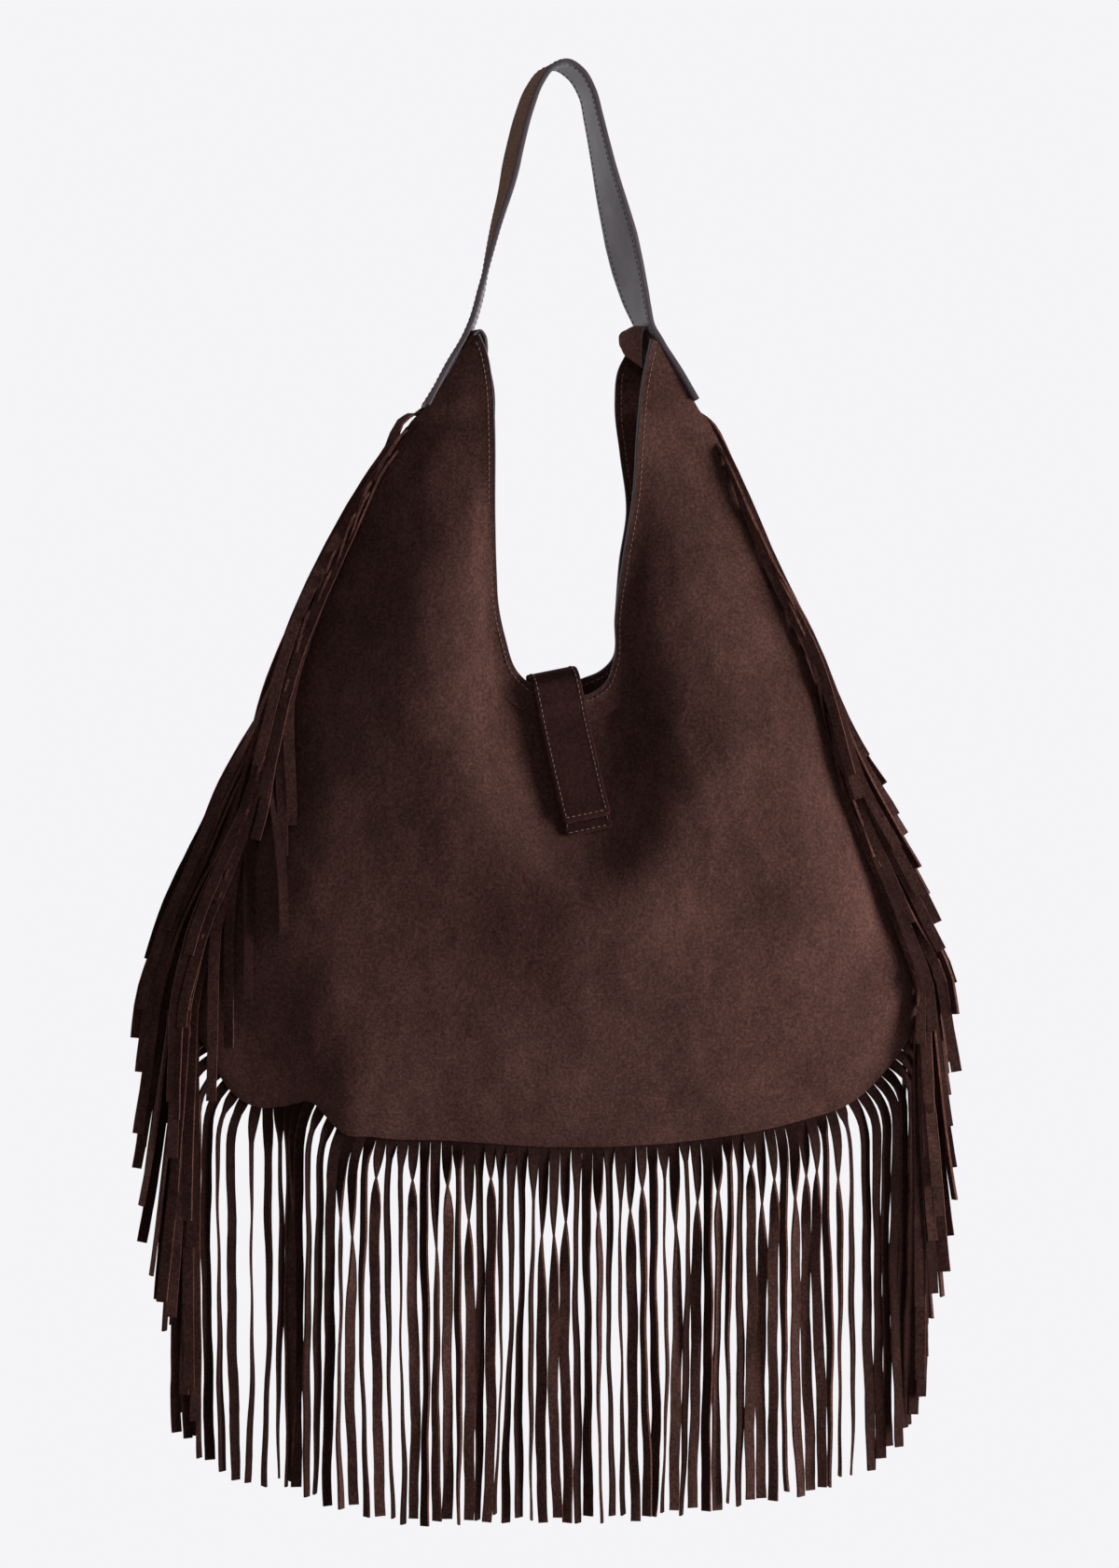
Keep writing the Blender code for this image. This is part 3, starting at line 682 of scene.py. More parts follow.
def makeStrap():
    # Two bands face to face, a bead of paint and a creased line along each edge, and a bead over each end.
    line, width, normal = strapFrames(strapShape["stations"])
    half = strapShape["width"] / 2
    shift = strapShape["ply"] / 2 + strapShape["join"]
    for name, sign, material, node, slotName in (
        ("strapSuede", 1, strapPaintedSheenMat, "strap", "suede"),
        ("strapLining", -1, liningMat, "strap_lining", "lining_leather"),
    ):
        top, low = bandGrid(line + normal * shift * sign, width, normal, half, strapShape["ply"])
        verts = np.concatenate([top.reshape(-1, 3), low.reshape(-1, 3)])
        addPiece(name, verts, plateFaces(len(line), 15), material, "bag", [node])
    thick = strapShape["ply"] + strapShape["join"]
    for label, sign in (("front", -1), ("back", 1)):
        edge = line + width * sign * (half - 0.1)
        makeBead(label + "StrapEdge", edge, width * sign, normal, 0.35, thick - 0.15, strapEdgeMat, "bag")
        crease = line + width * sign * (half - strapShape["creaseIn"])
        makeBead(label + "StrapCrease", crease, width * sign, normal, 0.3, thick + 0.05, creaseMat, "bag")
    for label, at in (("lower", 0), ("upper", -1)):
        flow = unit(np.gradient(line, axis=0))[at]
        u = np.linspace(-half, half, 40)
        ends = line[at] + width[at] * u[:, None]
        makeBead(
            label + "StrapEnd", ends, np.repeat(flow[None], 40, 0), np.repeat(normal[at][None], 40, 0),
            0.35, thick - 0.15, strapEdgeMat, "bag",
        )
    rows = []
    for sign in (-1, 1):
        edge = line + width * sign * (half - strapShape["stitchIn"])
        rows.append(stitchRow(edge + normal * (thick - 0.2), normal))
        rows.append(stitchRow(edge - normal * (thick - 0.2), -normal))
    makeStitches("strapStitches", rows, "bag", darkThreadMat, 2.6, 0.32)


# The rolled suede ends between the tips: how far each is carried back, and how its far end is rounded.
foldShape = {
    "thick": 1.4,
    "start": -8.0,
    "awayShare": 0.62,
    "endShrink": 0.15,
    "left": {"carry": (-5.0, 17.0, -0.5), "bow": 0.16, "high": 12.0},
    "right": {"carry": (-11.2, 17.0, 0.8), "bow": 0.30, "high": 25.0},
}


def makeFold(label, count=26, across=44):
    # An arch carried back from the front mouth: its far end is drawn in by the fourth power of the height.
    shape = foldShape[label]
    carry = np.array(shape["carry"])
    line, _ = smoothLine(outlines[label + "Fold"], across)
    line = np.stack([line[:, 0], np.zeros(across), line[:, 1]], axis=1)
    top = line[line[:, 2].argmax()]
    u = np.linspace(0, 1, count)[:, None, None]
    away = np.sign(carry[0]) * (line[:, 0] - top[0]) > 0
    short = np.where(away[None, :, None], np.array([1.0, 1.0, foldShape["awayShare"]]), 1.0)
    shrink = 1 + (short - 1) * u - foldShape["endShrink"] * ease((u - 0.7) / 0.3) ** 2
    mid = top + (line - top)[None] * shrink
    drop = np.clip((top[2] - line[:, 2]) / shape["high"], 0, 1)[None, :, None]
    reach = 1 - shape["bow"] * u**2 * (2 * drop - 1) ** 4
    mid = mid + carry * u * reach + np.array([0.0, foldShape["start"], 0.0])
    mid[..., 2] += 0.6 * np.sin(np.pi * u[..., 0]) - 0.9 * ease((u[..., 0] - 0.6) / 0.4)
    normal = unit(np.cross(np.gradient(mid, axis=1), np.gradient(mid, axis=0)))
    half = foldShape["thick"] / 2 * normal
    verts = np.concatenate([(mid + half).reshape(-1, 3), (mid - half).reshape(-1, 3)])
    name = label + "TipFold"
    addPiece(name, verts, plateFaces(count, across), foldMat, "bag", ["tip_fold_" + label])
    front = mid[0] + np.array([0.0, 0.1, 0.0])
    deep = np.repeat([[0.0, -1.0, 0.0]], across, axis=0)
    makeBead(name + "Edge", front, deep, normal[0], 0.4, 0.95, strapEdgeMat, "bag")


makeStrap()
makeFold("left")
makeFold("right")
print("strap made")

# The closure: a lower tab on the front, and an upper tab that folds over the mouth from the back.
tabShape = {
    "width": 27.0,
    "tilt": math.radians(11.5),
    "top": (-5.0, -349.6),
    "length": 87.0,
    "lowerLength": 94.5,
    "thick": 2.6,
    "lowerThick": 2.2,
    "corner": 2.4,
    "gap": 0.25,
    "stitchIn": 2.4,
    "lowerStitchIn": 2.2,
    "sewnRows": [-34.0, -26.0, -18.0, -11.0],
    "bendDepths": [8.0, 1.0, -5.0, -10.5, -14.0],
    "bendHeights": [-6.0, -3.2, -1.35, -0.7, -1.0, -2.6, -6.0, -12.0],
    "snapRadius": 7.0,
    "snapHalf": 0.9,
    "snapAt": 0.80,
    "hinge": 7.7,
}
tabAcross = np.array([math.cos(tabShape["tilt"]), 0, math.sin(tabShape["tilt"])])
tabUp = np.array([-math.sin(tabShape["tilt"]), 0, math.cos(tabShape["tilt"])])
tabOrigin = np.array([tabShape["top"][0], 0, tabShape["top"][1]])


def gridTree(grid):
    # A ray cast tree of one side of a grid.
    faces = plateFaces(*grid.shape[:2])[: (grid.shape[0] - 1) * (grid.shape[1] - 1)]
    return BVHTree.FromPolygons(grid.reshape(-1, 3).tolist(), faces.tolist())


def panelDepths(tree, heights, side):
    # How far out the panel stands under each row of a tab: the most over the tab's width.
    rows = []
    for h in heights:
        spots = [tabOrigin + tabUp * h + tabAcross * k for k in np.linspace(-14.5, 14.5, 13)]
        hits = [tree.ray_cast(Vector((p[0], side * 300, p[2])), Vector((0, -side, 0)))[0] for p in spots]
        rows.append(side * max(side * hit.y for hit in hits if hit))
    return np.array(rows)


def tabGrid(depths, heights, thick, half, count=150, columns=25):
    # A band along its profile in depth and height: rounded edges, and quarter circles at its free corners.
    line, length = smoothLine(np.stack([depths, heights], axis=1), count)
    mid = tabOrigin + line[:, 1:] * tabUp + line[:, :1] * np.array([0.0, 1.0, 0.0])
    flow = unit(np.gradient(mid, axis=0))
    normal = np.cross(np.repeat(tabAcross[None], count, 0), flow)
    u = np.sin(np.linspace(-np.pi / 2, np.pi / 2, columns))
    left = length * (1 - np.linspace(0, 1, count))
    r = tabShape["corner"]
    wide = half - np.where(left < r, r - np.sqrt(np.clip(r**2 - (r - left) ** 2, 0, None)), 0.0)
    margin = np.minimum(wide[:, None] * (1 - np.abs(u))[None, :], left[:, None])
    close = np.sqrt(1 - (1 - np.clip(margin / 0.9, 0, 1)) ** 2) * 0.7 + 0.3
    place = mid[:, None, :] + (wide[:, None] * u[None, :])[..., None] * tabAcross
    lift = (close * thick / 2)[..., None] * normal[:, None, :]
    return place + lift, place - lift, mid, normal, wide


def makeTab(name, depths, heights, thick, body, replaced):
    # The band's two faces closed by a rim, with the raw cut's tone on the rim and two rows beside it.
    top, low, mid, normal, wide = tabGrid(depths, heights, thick, tabShape["width"] / 2 + 0.6)
    verts = np.concatenate([top.reshape(-1, 3), low.reshape(-1, 3)])
    faces = plateFaces(*top.shape[:2])
    columns = top.shape[1] - 1
    quads = 2 * (top.shape[0] - 1) * columns
    place = np.arange(len(faces))
    rim = (place >= quads) | (place % columns < 2) | (place % columns > columns - 3)
    tone = np.where(rim, 1.0, 0.5)
    piece = addPiece(name, verts, faces, tabMat, body, replaced, tone=tone)
    return piece, mid, normal, wide


def endRow(line, direction):
    # Stitches across a tab, four stations before its end.
    u = np.linspace(-11.3, 11.3, 40)[:, None]
    return stitchRow(line[-4] + u * tabAcross, np.repeat(direction[-4][None], 40, 0), start=0.4)


frontTree = gridTree(frontOuter)
backTree = gridTree(backOuter)
gap = 2 * tabShape["snapHalf"] + 0.6
lower = np.linspace(-19.0, -tabShape["lowerLength"], 14)
lowerMid = panelDepths(frontTree, lower, -1) - tabShape["gap"] - tabShape["lowerThick"] / 2
_, mid, normal, wide = makeTab("lowerTab", lowerMid, lower, tabShape["lowerThick"], "bag", ["front_tab"])
outward = normal * np.where(normal[:, 1:2] < 0, 1, -1)
face = mid + outward * (tabShape["lowerThick"] / 2 - 0.05)
lowerRows = []
for sign in (-1, 1):
    inset = sign * (wide - tabShape["lowerStitchIn"])[:, None]
    lowerRows.append(stitchRow((face + inset * tabAcross)[:-4], outward[:-4]))
lowerRows.append(endRow(face, outward))

hang = np.linspace(-20.0, -tabShape["length"], 13)
front = panelDepths(frontTree, hang, -1) - tabShape["gap"] - tabShape["lowerThick"]
front = front - gap - tabShape["thick"] / 2
back = panelDepths(backTree, tabShape["sewnRows"], 1) + 0.35 + tabShape["thick"] / 2
rise = back[-1]
depths = np.concatenate([back, [rise, rise - 0.4], tabShape["bendDepths"], [front[0] + 0.4], front])
heights = np.concatenate([tabShape["sewnRows"], tabShape["bendHeights"], hang])
closure, mid, normal, wide = makeTab(
    "closureTab", depths, heights, tabShape["thick"], None, ["closure_tab", "closure_tab_root"]
)
outward = normal * np.sign(normal[len(normal) // 2, 1]) * -1
face = mid + outward * (tabShape["thick"] / 2 - 0.05)
under = mid - outward * (tabShape["thick"] / 2 - 0.05)
closureRows = []
for line, direction in ((face, outward), (under, -outward)):
    for inset in (tabShape["stitchIn"] - wide, wide - tabShape["stitchIn"]):
        closureRows.append(stitchRow((line + inset[:, None] * tabAcross)[2:-3], direction[2:-3]))
    closureRows.append(endRow(line, direction))
closureStitches = makeStitches("closureStitches", closureRows, None)
makeStitches("lowerTabStitches", lowerRows, "bag")
for piece in (closure, closureStitches):
    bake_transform(piece)


def makeSnap(name, centre, facing, profile, body, node):
    # A pressed disc turned from its profile of radius and height about the line out of the tab.
    profile = np.array(profile)
    facing = unit(np.array(facing))
    a = unit(np.cross(facing, [1.0, 0.2, 0.1]))
    b = np.cross(facing, a)
    turn = np.linspace(0, 2 * np.pi, 40, endpoint=False)
    ring = np.cos(turn)[None, :, None] * a + np.sin(turn)[None, :, None] * b
    verts = centre + profile[:, 0][:, None, None] * ring + profile[:, 1][:, None, None] * facing
    faces = tubeFaces(len(profile), 40)
    addPiece(name, verts, faces, steelMat, body, [node], sharp=30)


at = -tabShape["snapAt"] * tabShape["length"]
row = panelDepths(frontTree, [at - 3, at, at + 3], -1)
slope = (row[2] - row[0]) / 6
facing = unit(np.array([-math.sin(tabShape["tilt"]) * slope, -1, math.cos(tabShape["tilt"]) * slope]))
seatDepth = row[1] - tabShape["gap"] - tabShape["lowerThick"] + 0.2
seat = tabOrigin + tabUp * at + np.array([0, seatDepth, 0])
r, h = tabShape["snapRadius"], tabShape["snapHalf"]
disc = [(0.4, 0), (r, 0), (r, 0.7 * h), (r - 0.5, h)]
hole = [(2.9, h), (2.6, 0.3 * h), (0.4, 0.3 * h)]
boss = [(2.4, h), (2.2, 1.5 * h), (0.4, 1.5 * h)]
makeSnap("snapSocket", seat, facing, disc + hole, "bag", "snap_socket")
makeSnap("snapStud", seat + facing * (gap + 0.1), -facing, disc + boss, "closure", "snap_stud")
print("closure made")

# The fringe: strips cut 6.3 mm apart, a tape sewn in the seam holding them.
fringeShape = {
    "pitch": 6.3,
    "width": 5.9,
    "thick": 1.4,
    "length": 218.0,
    "tape": 6.0,
    "start": 44.7,
    "sideCount": 70,
    "rootWider": 0.075,
    "uneven": (0.05, 0.035),
    "edgeTone": 0.88,
    "endTone": 0.95,
}
# A side strip hangs in front of the seam (-1) or behind it (1), in one of three lanes.
laneShape = {
    "order": [(-1, 0), (1, 1), (-1, 2), (1, 0), (-1, 1), (1, 2)],
    "hug": [1.0, 0.85, 0.50],
    "first": 4.3,
    "step": 6.3,
    "frontShare": 0.62,
    "offset": 4.4,
    "grow": 1.9 / (6 * 6.3),
    "flareFrom": 220.0,
    "flareTo": 305.0,
    "flareLow": 115.0,
}
# What differs between the two sides. A draped strip, by its number, leaves the seam that far down it.
sideShape = {
    "left": {
        "flare": 20.0,
        "easy": (0.75, 1.0),
        "easyFrom": 8,
        "powerDip": 1.4,
        "firstLoop": 3.4,
        "rootBump": 1.8,
        "tuck": 5.5,
        "facingRamp": 13,
        "facingStack": 1.0,
        "setBack": 0.0,
        "draped": {7: 236.0, 10: 252.0, 16: 264.0, 22: 300.0, 28: 330.0, 33: 372.0},
    },
    "right": {
        "flare": 9.5,
        "easy": (0.85, 1.6),
        "easyFrom": -12,
        "powerDip": 0.0,
        "firstLoop": 0.6,
        "rootBump": 0.4,
        "tuck": 0.0,
        "facingRamp": 32,
        "facingStack": 1.3,
        "setBack": 5.5,
        "draped": {},
    },
}


class SeamEdge:
    # The seam seen from one tip downwards, and the line that strips follow once past its widest point.
    def __init__(self, mirror):
        # The way out is the direction turned a quarter; the widest point is where x is furthest from 0.
        self.mirror = mirror
        self.shape = sideShape["right" if mirror else "left"]
        self.line = seamLine[::-1] if mirror else seamLine
        half = self.line[: len(self.line) // 2]
        self.widest = float(np.argmax(np.abs(half[:, 0]))) * seamLength / (len(self.line) - 1)
        flow = unit(np.gradient(self.line, axis=0))
        self.flows = flow
        self.outs = np.stack([flow[:, 1], -flow[:, 0]], axis=1) * (-1 if mirror else 1)

    def seam(self, a):
        # Point, direction and way out, a millimetres down the seam.
        share = np.asarray(a, float) / seamLength
        return along(self.line, share), unit(along(self.flows, share)), unit(along(self.outs, share))

    def hang(self, root, d, leave=None):
        # Where a strip from root is after d millimetres, and which way is outwards there: it follows the
        # seam to its widest point, or to where it leaves it, and then hangs straight down.
        a = root + d
        leave = leave or self.widest
        p, _, out = self.seam(np.minimum(a, leave))
        start = max(root, leave)
        below, _, _ = self.seam(start)
        free = a > start
        p = np.where(free[:, None], below + np.stack([0 * a, start - a], axis=1), p)
        if root > self.widest:
            p[:] = self.seam(root)[0] + np.stack([0 * a, -d], axis=1)
        side = np.array([1.0 if self.mirror else -1.0, 0.0])
        _, _, rootOut = self.seam(root)
        turned = unit(rootOut * (1 - ease(d / 16))[:, None] + side * ease(d / 16)[:, None])
        out = turned if root > self.widest else np.where(free[:, None], side, out)
        return p, out


def flat(p, y=0.0):
    # x z points as x y z points at depth y.
    return np.stack([p[..., 0], np.broadcast_to(y, p.shape[:-1]), p[..., 1]], axis=-1)


def laneFor(edge, root, d, loose, power):
    # Distance from the seam: a step, a lane's growth that is less below the widest point, and a flare.
    above = edge.widest - root
    grow = laneShape["grow"] * (0.2 + 0.8 * ease((above - 15) / 23))
    flare = edge.shape["flare"] * ease(above / laneShape["flareLow"])
    reach = laneShape["flareTo"] - laneShape["flareFrom"]
    reached = ease((np.minimum(root + d, edge.widest) - laneShape["flareFrom"]) / reach)
    step = laneShape["offset"] * ease(d / 9) - 1.0 * (1 - ease(d / 4))
    spread = loose * flare * reached * (d / fringeShape["length"]) ** power
    return step + grow * np.maximum(d - 8.5, 0) + spread


def frontOf(centre, clear, d):
    # Moves a strip that lies over the front panel to just before it, evenly along its length.
    push = np.zeros(len(centre) + 4)
    for k, (x, y, z) in enumerate(centre):
        hit = frontTree.ray_cast(Vector((x, -300, z)), Vector((0, 1, 0)))[0]
        push[k + 2] = max(0.0, y - hit.y + clear[k]) if hit else 0.0
    push[-2:] = push[-3]
    near = np.max([push[:-4], push[1:-3], push[2:-2], push[3:-1], push[4:]], axis=0)
    soft = np.convolve(np.pad(near, 2, mode="edge"), np.ones(5) / 5, mode="valid")
    centre[:, 1] -= soft * ease((d - 4) / 12)
    return centre


def sideStrip(edge, root, index, rng):
    # Out of the seam, sideways to its lane, down the bag's edge, then free. A draped one leaves it early.
    shape = edge.shape
    sign, lane = laneShape["order"][index % 6]
    leave = shape["draped"].get(index)
    if leave:
        sign, lane = -1, 2
    facing = sign < 0 and lane > 0
    behind = sign > 0 and not edge.mirror
    length = fringeShape["length"] * (1 + 0.012 * math.sin(index * 2.4) + rng.uniform(-0.012, 0.012))
    d = np.concatenate([[0, 1.5, 3, 5, 7.5, 10.5], np.linspace(15, length, 26)])
    p, out = edge.hang(root, d, leave)
    if leave:
        for reach in np.linspace(leave - 34, leave + 34, 9) - root:
            p = p + (edge.hang(root, d, root + reach)[0] - p) / 9 if reach > 20 else p
    _, rootFlow, _ = edge.seam(root)
    hug = laneShape["hug"][lane] if sign < 0 else 1.0
    spread = 1.0
    if behind and lane > 0:
        hug = rng.uniform(0.4, 1.0)
    if facing:
        hug = rng.uniform(0.5, 1.2)
        spread = rng.uniform(0.12, 0.80)
    if leave:
        hug = 0.25
    easy = rng.uniform(*shape["easy"]) * ease((index - shape["easyFrom"]) / 12)
    power = 2.0 - shape["powerDip"] * ease((index - 12) / 6) * ease((46 - index) / 14)
    narrow = spread**0.5
    offset = laneFor(edge, root, d * narrow, easy, power) * narrow * (1 + (hug - 1) * ease((d - 10) / 40))
    if index == 0:
        offset = offset + shape["firstLoop"] * np.exp(-(((d - 17) / 9) ** 2)) * ease(d / 8)
    offset = offset - (1 - ease((index - 15) / 8)) * shape["tuck"] * ease((d - 120) / 90)
    ramp = ease((d - 3) / (shape["facingRamp"] if facing else 13))
    y = sign * (laneShape["first"] + laneShape["step"] * (2 if facing else lane)) * ramp
    if sign < 0:
        y = y * (1 - (1 - laneShape["frontShare"]) * ease(d / 30))
        y = y * (0.5 + 0.5 * ease((root + d - 50) / 150))
        offset = offset + shape["rootBump"] * ease(d / 5) * (1 - ease((d - 10) / 30))
    y = y + shape["setBack"] * ease((d - 1) / 14)
    if facing:
        y = y - shape["facingStack"] * d / (3 * fringeShape["pitch"]) + 1.0
    loose = (d / length) ** 1.8
    y = y + loose * rng.uniform(-2.5, 2.5)
    offset = offset + loose * rng.uniform(-2.6, 2.2) + 0.7 * np.sin(d / 31 + index * 1.9) * ease(d / 60)
    centre = flat(p + out * offset[:, None], y)
    centre[:, 1] += cornerShift(centre[:, 0], centre[:, 2]) * ease(1 - d / 60)
    centre[:, 2] += cornerLift(p[0, 0], p[0, 1]) * (1 - ease(d / 120))
    k = ease(d / 9)[:, None]
    width = unit(flat(rootFlow)[None] * (1 - k) + np.array([0, -sign, 0.0])[None] * k)
    full = rng.uniform(62, 86) if facing or behind or rng.random() < 0.55 else rng.uniform(5, 30)
    if facing:
        start = rng.uniform(8, 26)
    elif behind:
        start = rng.uniform(20, 60)
    else:
        start = rng.uniform(60, 110)
    if index == 0:
        full, start = 75.0, -12.0
    turn = math.radians(full) * (-sign if rng.random() < 0.78 else sign) * ease((d - start) / 60)
    if leave or sign < 0:
        centre = frontOf(centre, 1.3 + 1.9 * np.abs(np.cos(turn)), d)
    heading = unit(np.gradient(centre, axis=0))
    thick = unit(np.cross(width, heading))
    width = unit(np.cross(heading, thick))
    c, s = np.cos(turn)[:, None], np.sin(turn)[:, None]
    return centre, width * c + thick * s, thick * c - width * s


# A bottom strip turns on its own axis: by about a quarter, past it, or by a half.
bottomShape = {
    "turns": [(48, 80), (98, 130), (145, 190)],
    "turnShares": [0.58, 0.17, 0.25],
    "steepFrom": 0.38,
    "steepTurns": [(8, 34), (40, 80)],
    "swayMm": (2.2, 1.0),
}


def bottomStrip(edge, root, index, rng, turnDegrees):
    # Straight out of the seam, hanging after 20 mm, turned on its own axis, swaying a little to its end.
    length = fringeShape["length"] * (1 + 0.010 * math.sin(index * 2.4)) + rng.uniform(-1.5, 1.5)
    d = np.concatenate([[0, 2, 4, 7, 10, 14, 18, 23, 28, 34], np.linspace(41, length, 36)])
    p, _, out = edge.seam(root)
    lean = ease(d / 38)[:, None]
    heading = unit(out * (1 - lean) + np.array([0.0, -1.0]) * lean)
    step = np.diff(d, prepend=0)[:, None]
    path = p - out * 1.0 + np.cumsum(heading * step, axis=0)
    low = (d / fringeShape["length"]) ** 1.5
    slow, quick = bottomShape["swayMm"]
    sway = slow * np.sin(index * 0.33 + 1.0 + d / 90) + quick * np.sin(index * 0.8 + d / 46)
    path[:, 0] += low * sway + 0.45 * np.sin(d / 21 + index * 1.7) * ease(d / 40)
    path[:, 0] += 0.25 * np.sin(d / 7.9 + index * 2.9) * ease((d - 20) / 40)
    side = (0.9 if index % 2 else -0.9) * ease(d / 20)
    y = side + low * (3.2 * math.sin(index * 1.9) + 2.0 * np.sin(d / 60 + index * 2.3))
    y = y + cornerShift(p[0], p[1]) * (1 - 0.5 * ease(d / 150))
    path[:, 1] += cornerLift(p[0], p[1]) * (1 - ease(d / 120))
    centre = flat(path, y)
    reach = rng.uniform(14, 40) if abs(turnDegrees) < 90 else rng.uniform(40, 105)
    if abs(out[0]) > bottomShape["steepFrom"]:
        reach = rng.uniform(10, 18)
    turn = np.radians(turnDegrees) * ease((d - 1) / reach)
    turn = turn + math.radians(16) * np.sin(d / 48 + index * 1.3) * ease((d - 25) / 60)
    head = unit(np.gradient(centre, axis=0))
    across = unit(np.cross(head, np.array([0.0, 1.0, 0.0])))
    deep = unit(np.cross(across, head))
    width = across * np.cos(turn)[:, None] + deep * np.sin(turn)[:, None]
    thick = deep * np.cos(turn)[:, None] - across * np.sin(turn)[:, None]
    return centre, width, thick


def stripMesh(centre, width, thick, halfWidth):
    # Four corners at each station of a strip.
    w = width * halfWidth[:, None]
    t = thick * fringeShape["thick"] / 2
    return np.stack([centre - w - t, centre + w - t, centre + w + t, centre - w + t], axis=1).reshape(-1, 3)


def makeFringe(name, mirror, first, count, bottom, node, seed):
    # A tape in the seam and its strips, in one piece.
    edge = SeamEdge(mirror)
    rng = np.random.default_rng(seed)
    a = np.linspace(first, first + count * fringeShape["pitch"], count * 3)
    p, _, out = edge.seam(a)
    deep, half = -fringeShape["tape"], fringeShape["thick"] / 2
    corners = ((deep, -half), (0.0, -half), (0.0, half), (deep, half))
    tape = np.stack([flat(p + out * x, y) for x, y in corners], axis=1).reshape(-1, 3)
    tape[:, 1] += cornerShift(tape[:, 0], tape[:, 2])
    tape[:, 2] += cornerLift(tape[:, 0], tape[:, 2])
    verts = [tape]
    faces = tubeFaces(len(a), 4)
    tones = [np.zeros(len(faces))]
    used = len(tape)
    for k in range(count):
        root = first + fringeShape["pitch"] * (k + 0.5)
        straight = bottom or root > edge.widest + 22
        if straight:
            turns = [rng.uniform(*span) for span in bottomShape["turns"]]
            turn = rng.choice(turns, p=bottomShape["turnShares"])
            turn = turn * (1 if rng.random() < 0.65 else -1)
            if abs(edge.seam(root)[2][0]) > bottomShape["steepFrom"]:
                turn = rng.uniform(*bottomShape["steepTurns"][int(rng.random() < 0.55)])
            centre, width, thick = bottomStrip(edge, root, k, rng, turn)
        else:
            centre, width, thick = sideStrip(edge, root, k, rng)
        n = len(centre)
        wave, rough = fringeShape["uneven"]
        uneven = wave * np.sin(np.linspace(0, 9, n) + k) + rng.uniform(-rough, rough, n)
        fromRoot = np.minimum(np.arange(n) / 6, 1.0)
        wider = 1 + uneven * fromRoot + fringeShape["rootWider"] * (1 - fromRoot)
        verts.append(stripMesh(centre, width, thick, fringeShape["width"] / 2 * wider))
        strip = tubeFaces(n, 4)
        faces += [[used + v for v in f] for f in strip]
        shade = rng.uniform(-0.10, 0.10)
        edgeTone = fringeShape["edgeTone"]
        sides = np.tile([0.06 + abs(shade), edgeTone, 0.48 + shade, edgeTone], n - 1)
        # Painted shade: a hanging strip's tones are lowered over its first eight stations, most at the seam,
        # where the panel's edge shades its root.
        if straight:
            sides *= np.repeat(0.45 + 0.55 * np.minimum(np.arange(n - 1) / 8, 1.0), 4)
        tones.append(np.concatenate([sides, [fringeShape["endTone"]] * 2]))
        used += n * 4
    verts, tones = np.concatenate(verts), np.concatenate(tones)
    addPiece(name, verts, faces, stripMat, "bag", [node], sharp=40, tone=tones)


makeFringe("fringeLeft", False, fringeShape["start"], fringeShape["sideCount"], False, "fringe_left", 3)
makeFringe("fringeRight", True, fringeShape["start"], fringeShape["sideCount"], False, "fringe_right", 4)
sideEnd = fringeShape["start"] + fringeShape["pitch"] * fringeShape["sideCount"]
lowCount = int((seamLength - 2 * sideEnd) / fringeShape["pitch"])
lowStart = (seamLength - lowCount * fringeShape["pitch"]) / 2
makeFringe("fringeBottom", False, lowStart, lowCount, True, "fringe_bottom", 5)
print("fringe made:", 2 * fringeShape["sideCount"] + lowCount, "strips")

# Pale cool backdrop, soft light raking from the right, little from the left.
studio = {
    "background": "#f5f4f7",
    "fill": 0.07,
    "lamps": {
        "keyLight": {"place": (1.25, -0.50, -0.5), "size": (0.7, 0.9), "watts": 19.2},
        "backLight": {"place": (-2.0, 0.9, 0.7), "size": (1.2, 1.6), "watts": 14.0},
        "frontLight": {"place": (-0.4, -3.0, 0.9), "size": (1.6, 1.6), "watts": 3.6},
    },
    "floorRadius": 1.1,
    "floorHeight": -1.15,
    "distance": 2.5,
    "azimuth": -7.5,
    "aim": (0.0, 0.0, -0.4147),
    "mmPerPixel": 0.54,
    "frameHeight": 1681,
}


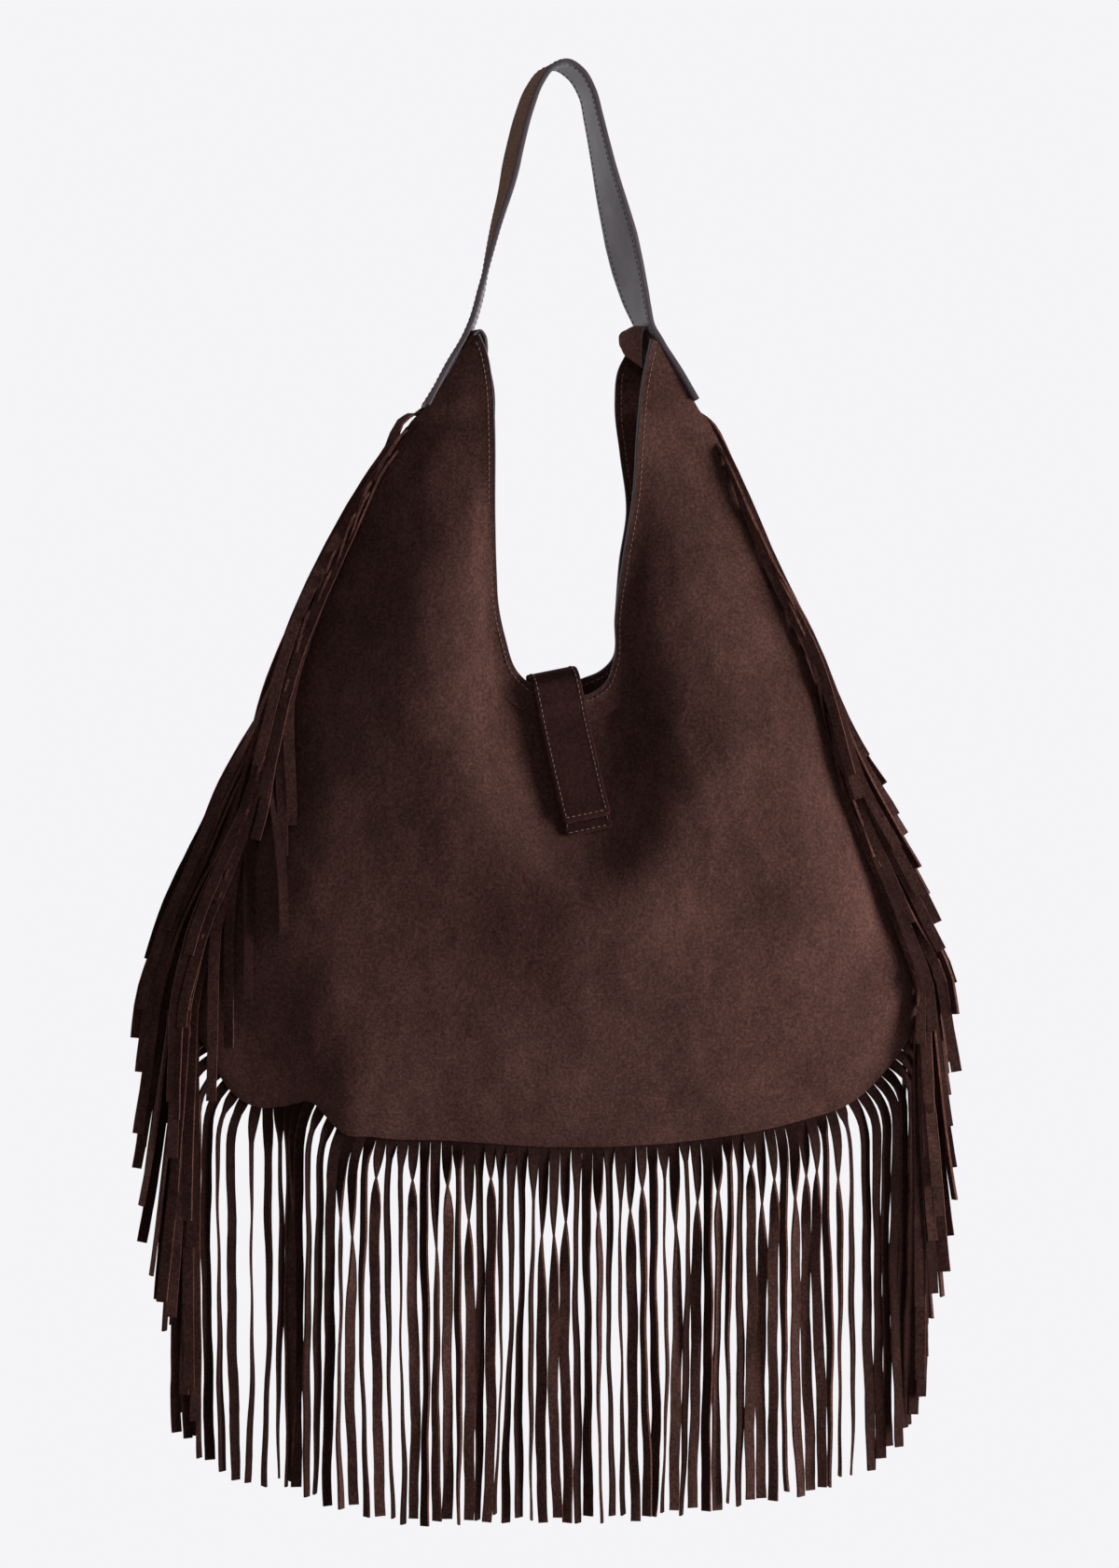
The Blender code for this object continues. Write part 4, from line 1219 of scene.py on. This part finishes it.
def makeStudio():
    # World, lamps, floor and camera. The lens is the sensor times the distance over the height seen.
    scene = bpy.context.scene
    scene.view_settings.view_transform = "Standard"
    world = bpy.data.worlds.new("paleBackdrop")
    world.use_nodes = True
    tree = world.node_tree
    tree.nodes.clear()
    rays = addNode(tree, "ShaderNodeLightPath")
    seen = addNode(
        tree, "ShaderNodeMath",
        {0: rays.outputs["Is Camera Ray"], 1: rays.outputs["Is Glossy Ray"]}, operation="MAXIMUM",
    )
    seen = addNode(
        tree, "ShaderNodeMath",
        {0: seen.outputs[0], 1: rays.outputs["Is Transmission Ray"]}, operation="MAXIMUM",
    )
    plain = addNode(tree, "ShaderNodeBackground", {"Color": (1, 1, 1, 1), "Strength": studio["fill"]})
    pale = addNode(tree, "ShaderNodeBackground", {"Color": linear(studio["background"]), "Strength": 1.0})
    mix = addNode(tree, "ShaderNodeMixShader", {0: seen.outputs[0], 1: plain.outputs[0], 2: pale.outputs[0]})
    addNode(tree, "ShaderNodeOutputWorld", {"Surface": mix.outputs[0]})
    scene.world = world

    aim = Vector(studio["aim"])
    for name, shape in studio["lamps"].items():
        lamp = bpy.data.lights.new(name, "AREA")
        lamp.shape = "RECTANGLE"
        lamp.size, lamp.size_y = shape["size"]
        lamp.energy = shape["watts"]
        light = bpy.data.objects.new(name, lamp)
        light.location = shape["place"]
        light.rotation_euler = (aim - Vector(shape["place"])).to_track_quat("-Z", "Y").to_euler()
        scene.collection.objects.link(light)

    floorMat = makePlain("paleFloor", "#f0eff2", "#f6f5f8", scaleMm=300.0, roughness=0.9, bumpMm=0.0)
    turn = np.linspace(0, 2 * np.pi, 96, endpoint=False)
    ring = np.stack([np.cos(turn), np.sin(turn), 0 * turn], axis=1) * studio["floorRadius"]
    ring = ring + np.array([0, 0, studio["floorHeight"]])
    mesh = bpy.data.meshes.new("floor")
    mesh.from_pydata(ring.tolist(), [], [list(range(96))])
    mesh.materials.append(floorMat)
    floor = bpy.data.objects.new("floor", mesh)
    scene.collection.objects.link(floor)

    camera = bpy.data.cameras.new("camera")
    half = studio["mmPerPixel"] * 0.001 * studio["frameHeight"] / 2 / studio["distance"]
    camera.lens = camera.sensor_width / 2 / half
    holder = bpy.data.objects.new("camera", camera)
    a = math.radians(studio["azimuth"])
    back = Vector((math.sin(a), -math.cos(a), 0))
    holder.location = aim + back * studio["distance"]
    holder.rotation_euler = (-back).to_track_quat("-Z", "Y").to_euler()
    scene.collection.objects.link(holder)
    scene.camera = holder


makeStudio()
print("studio made")
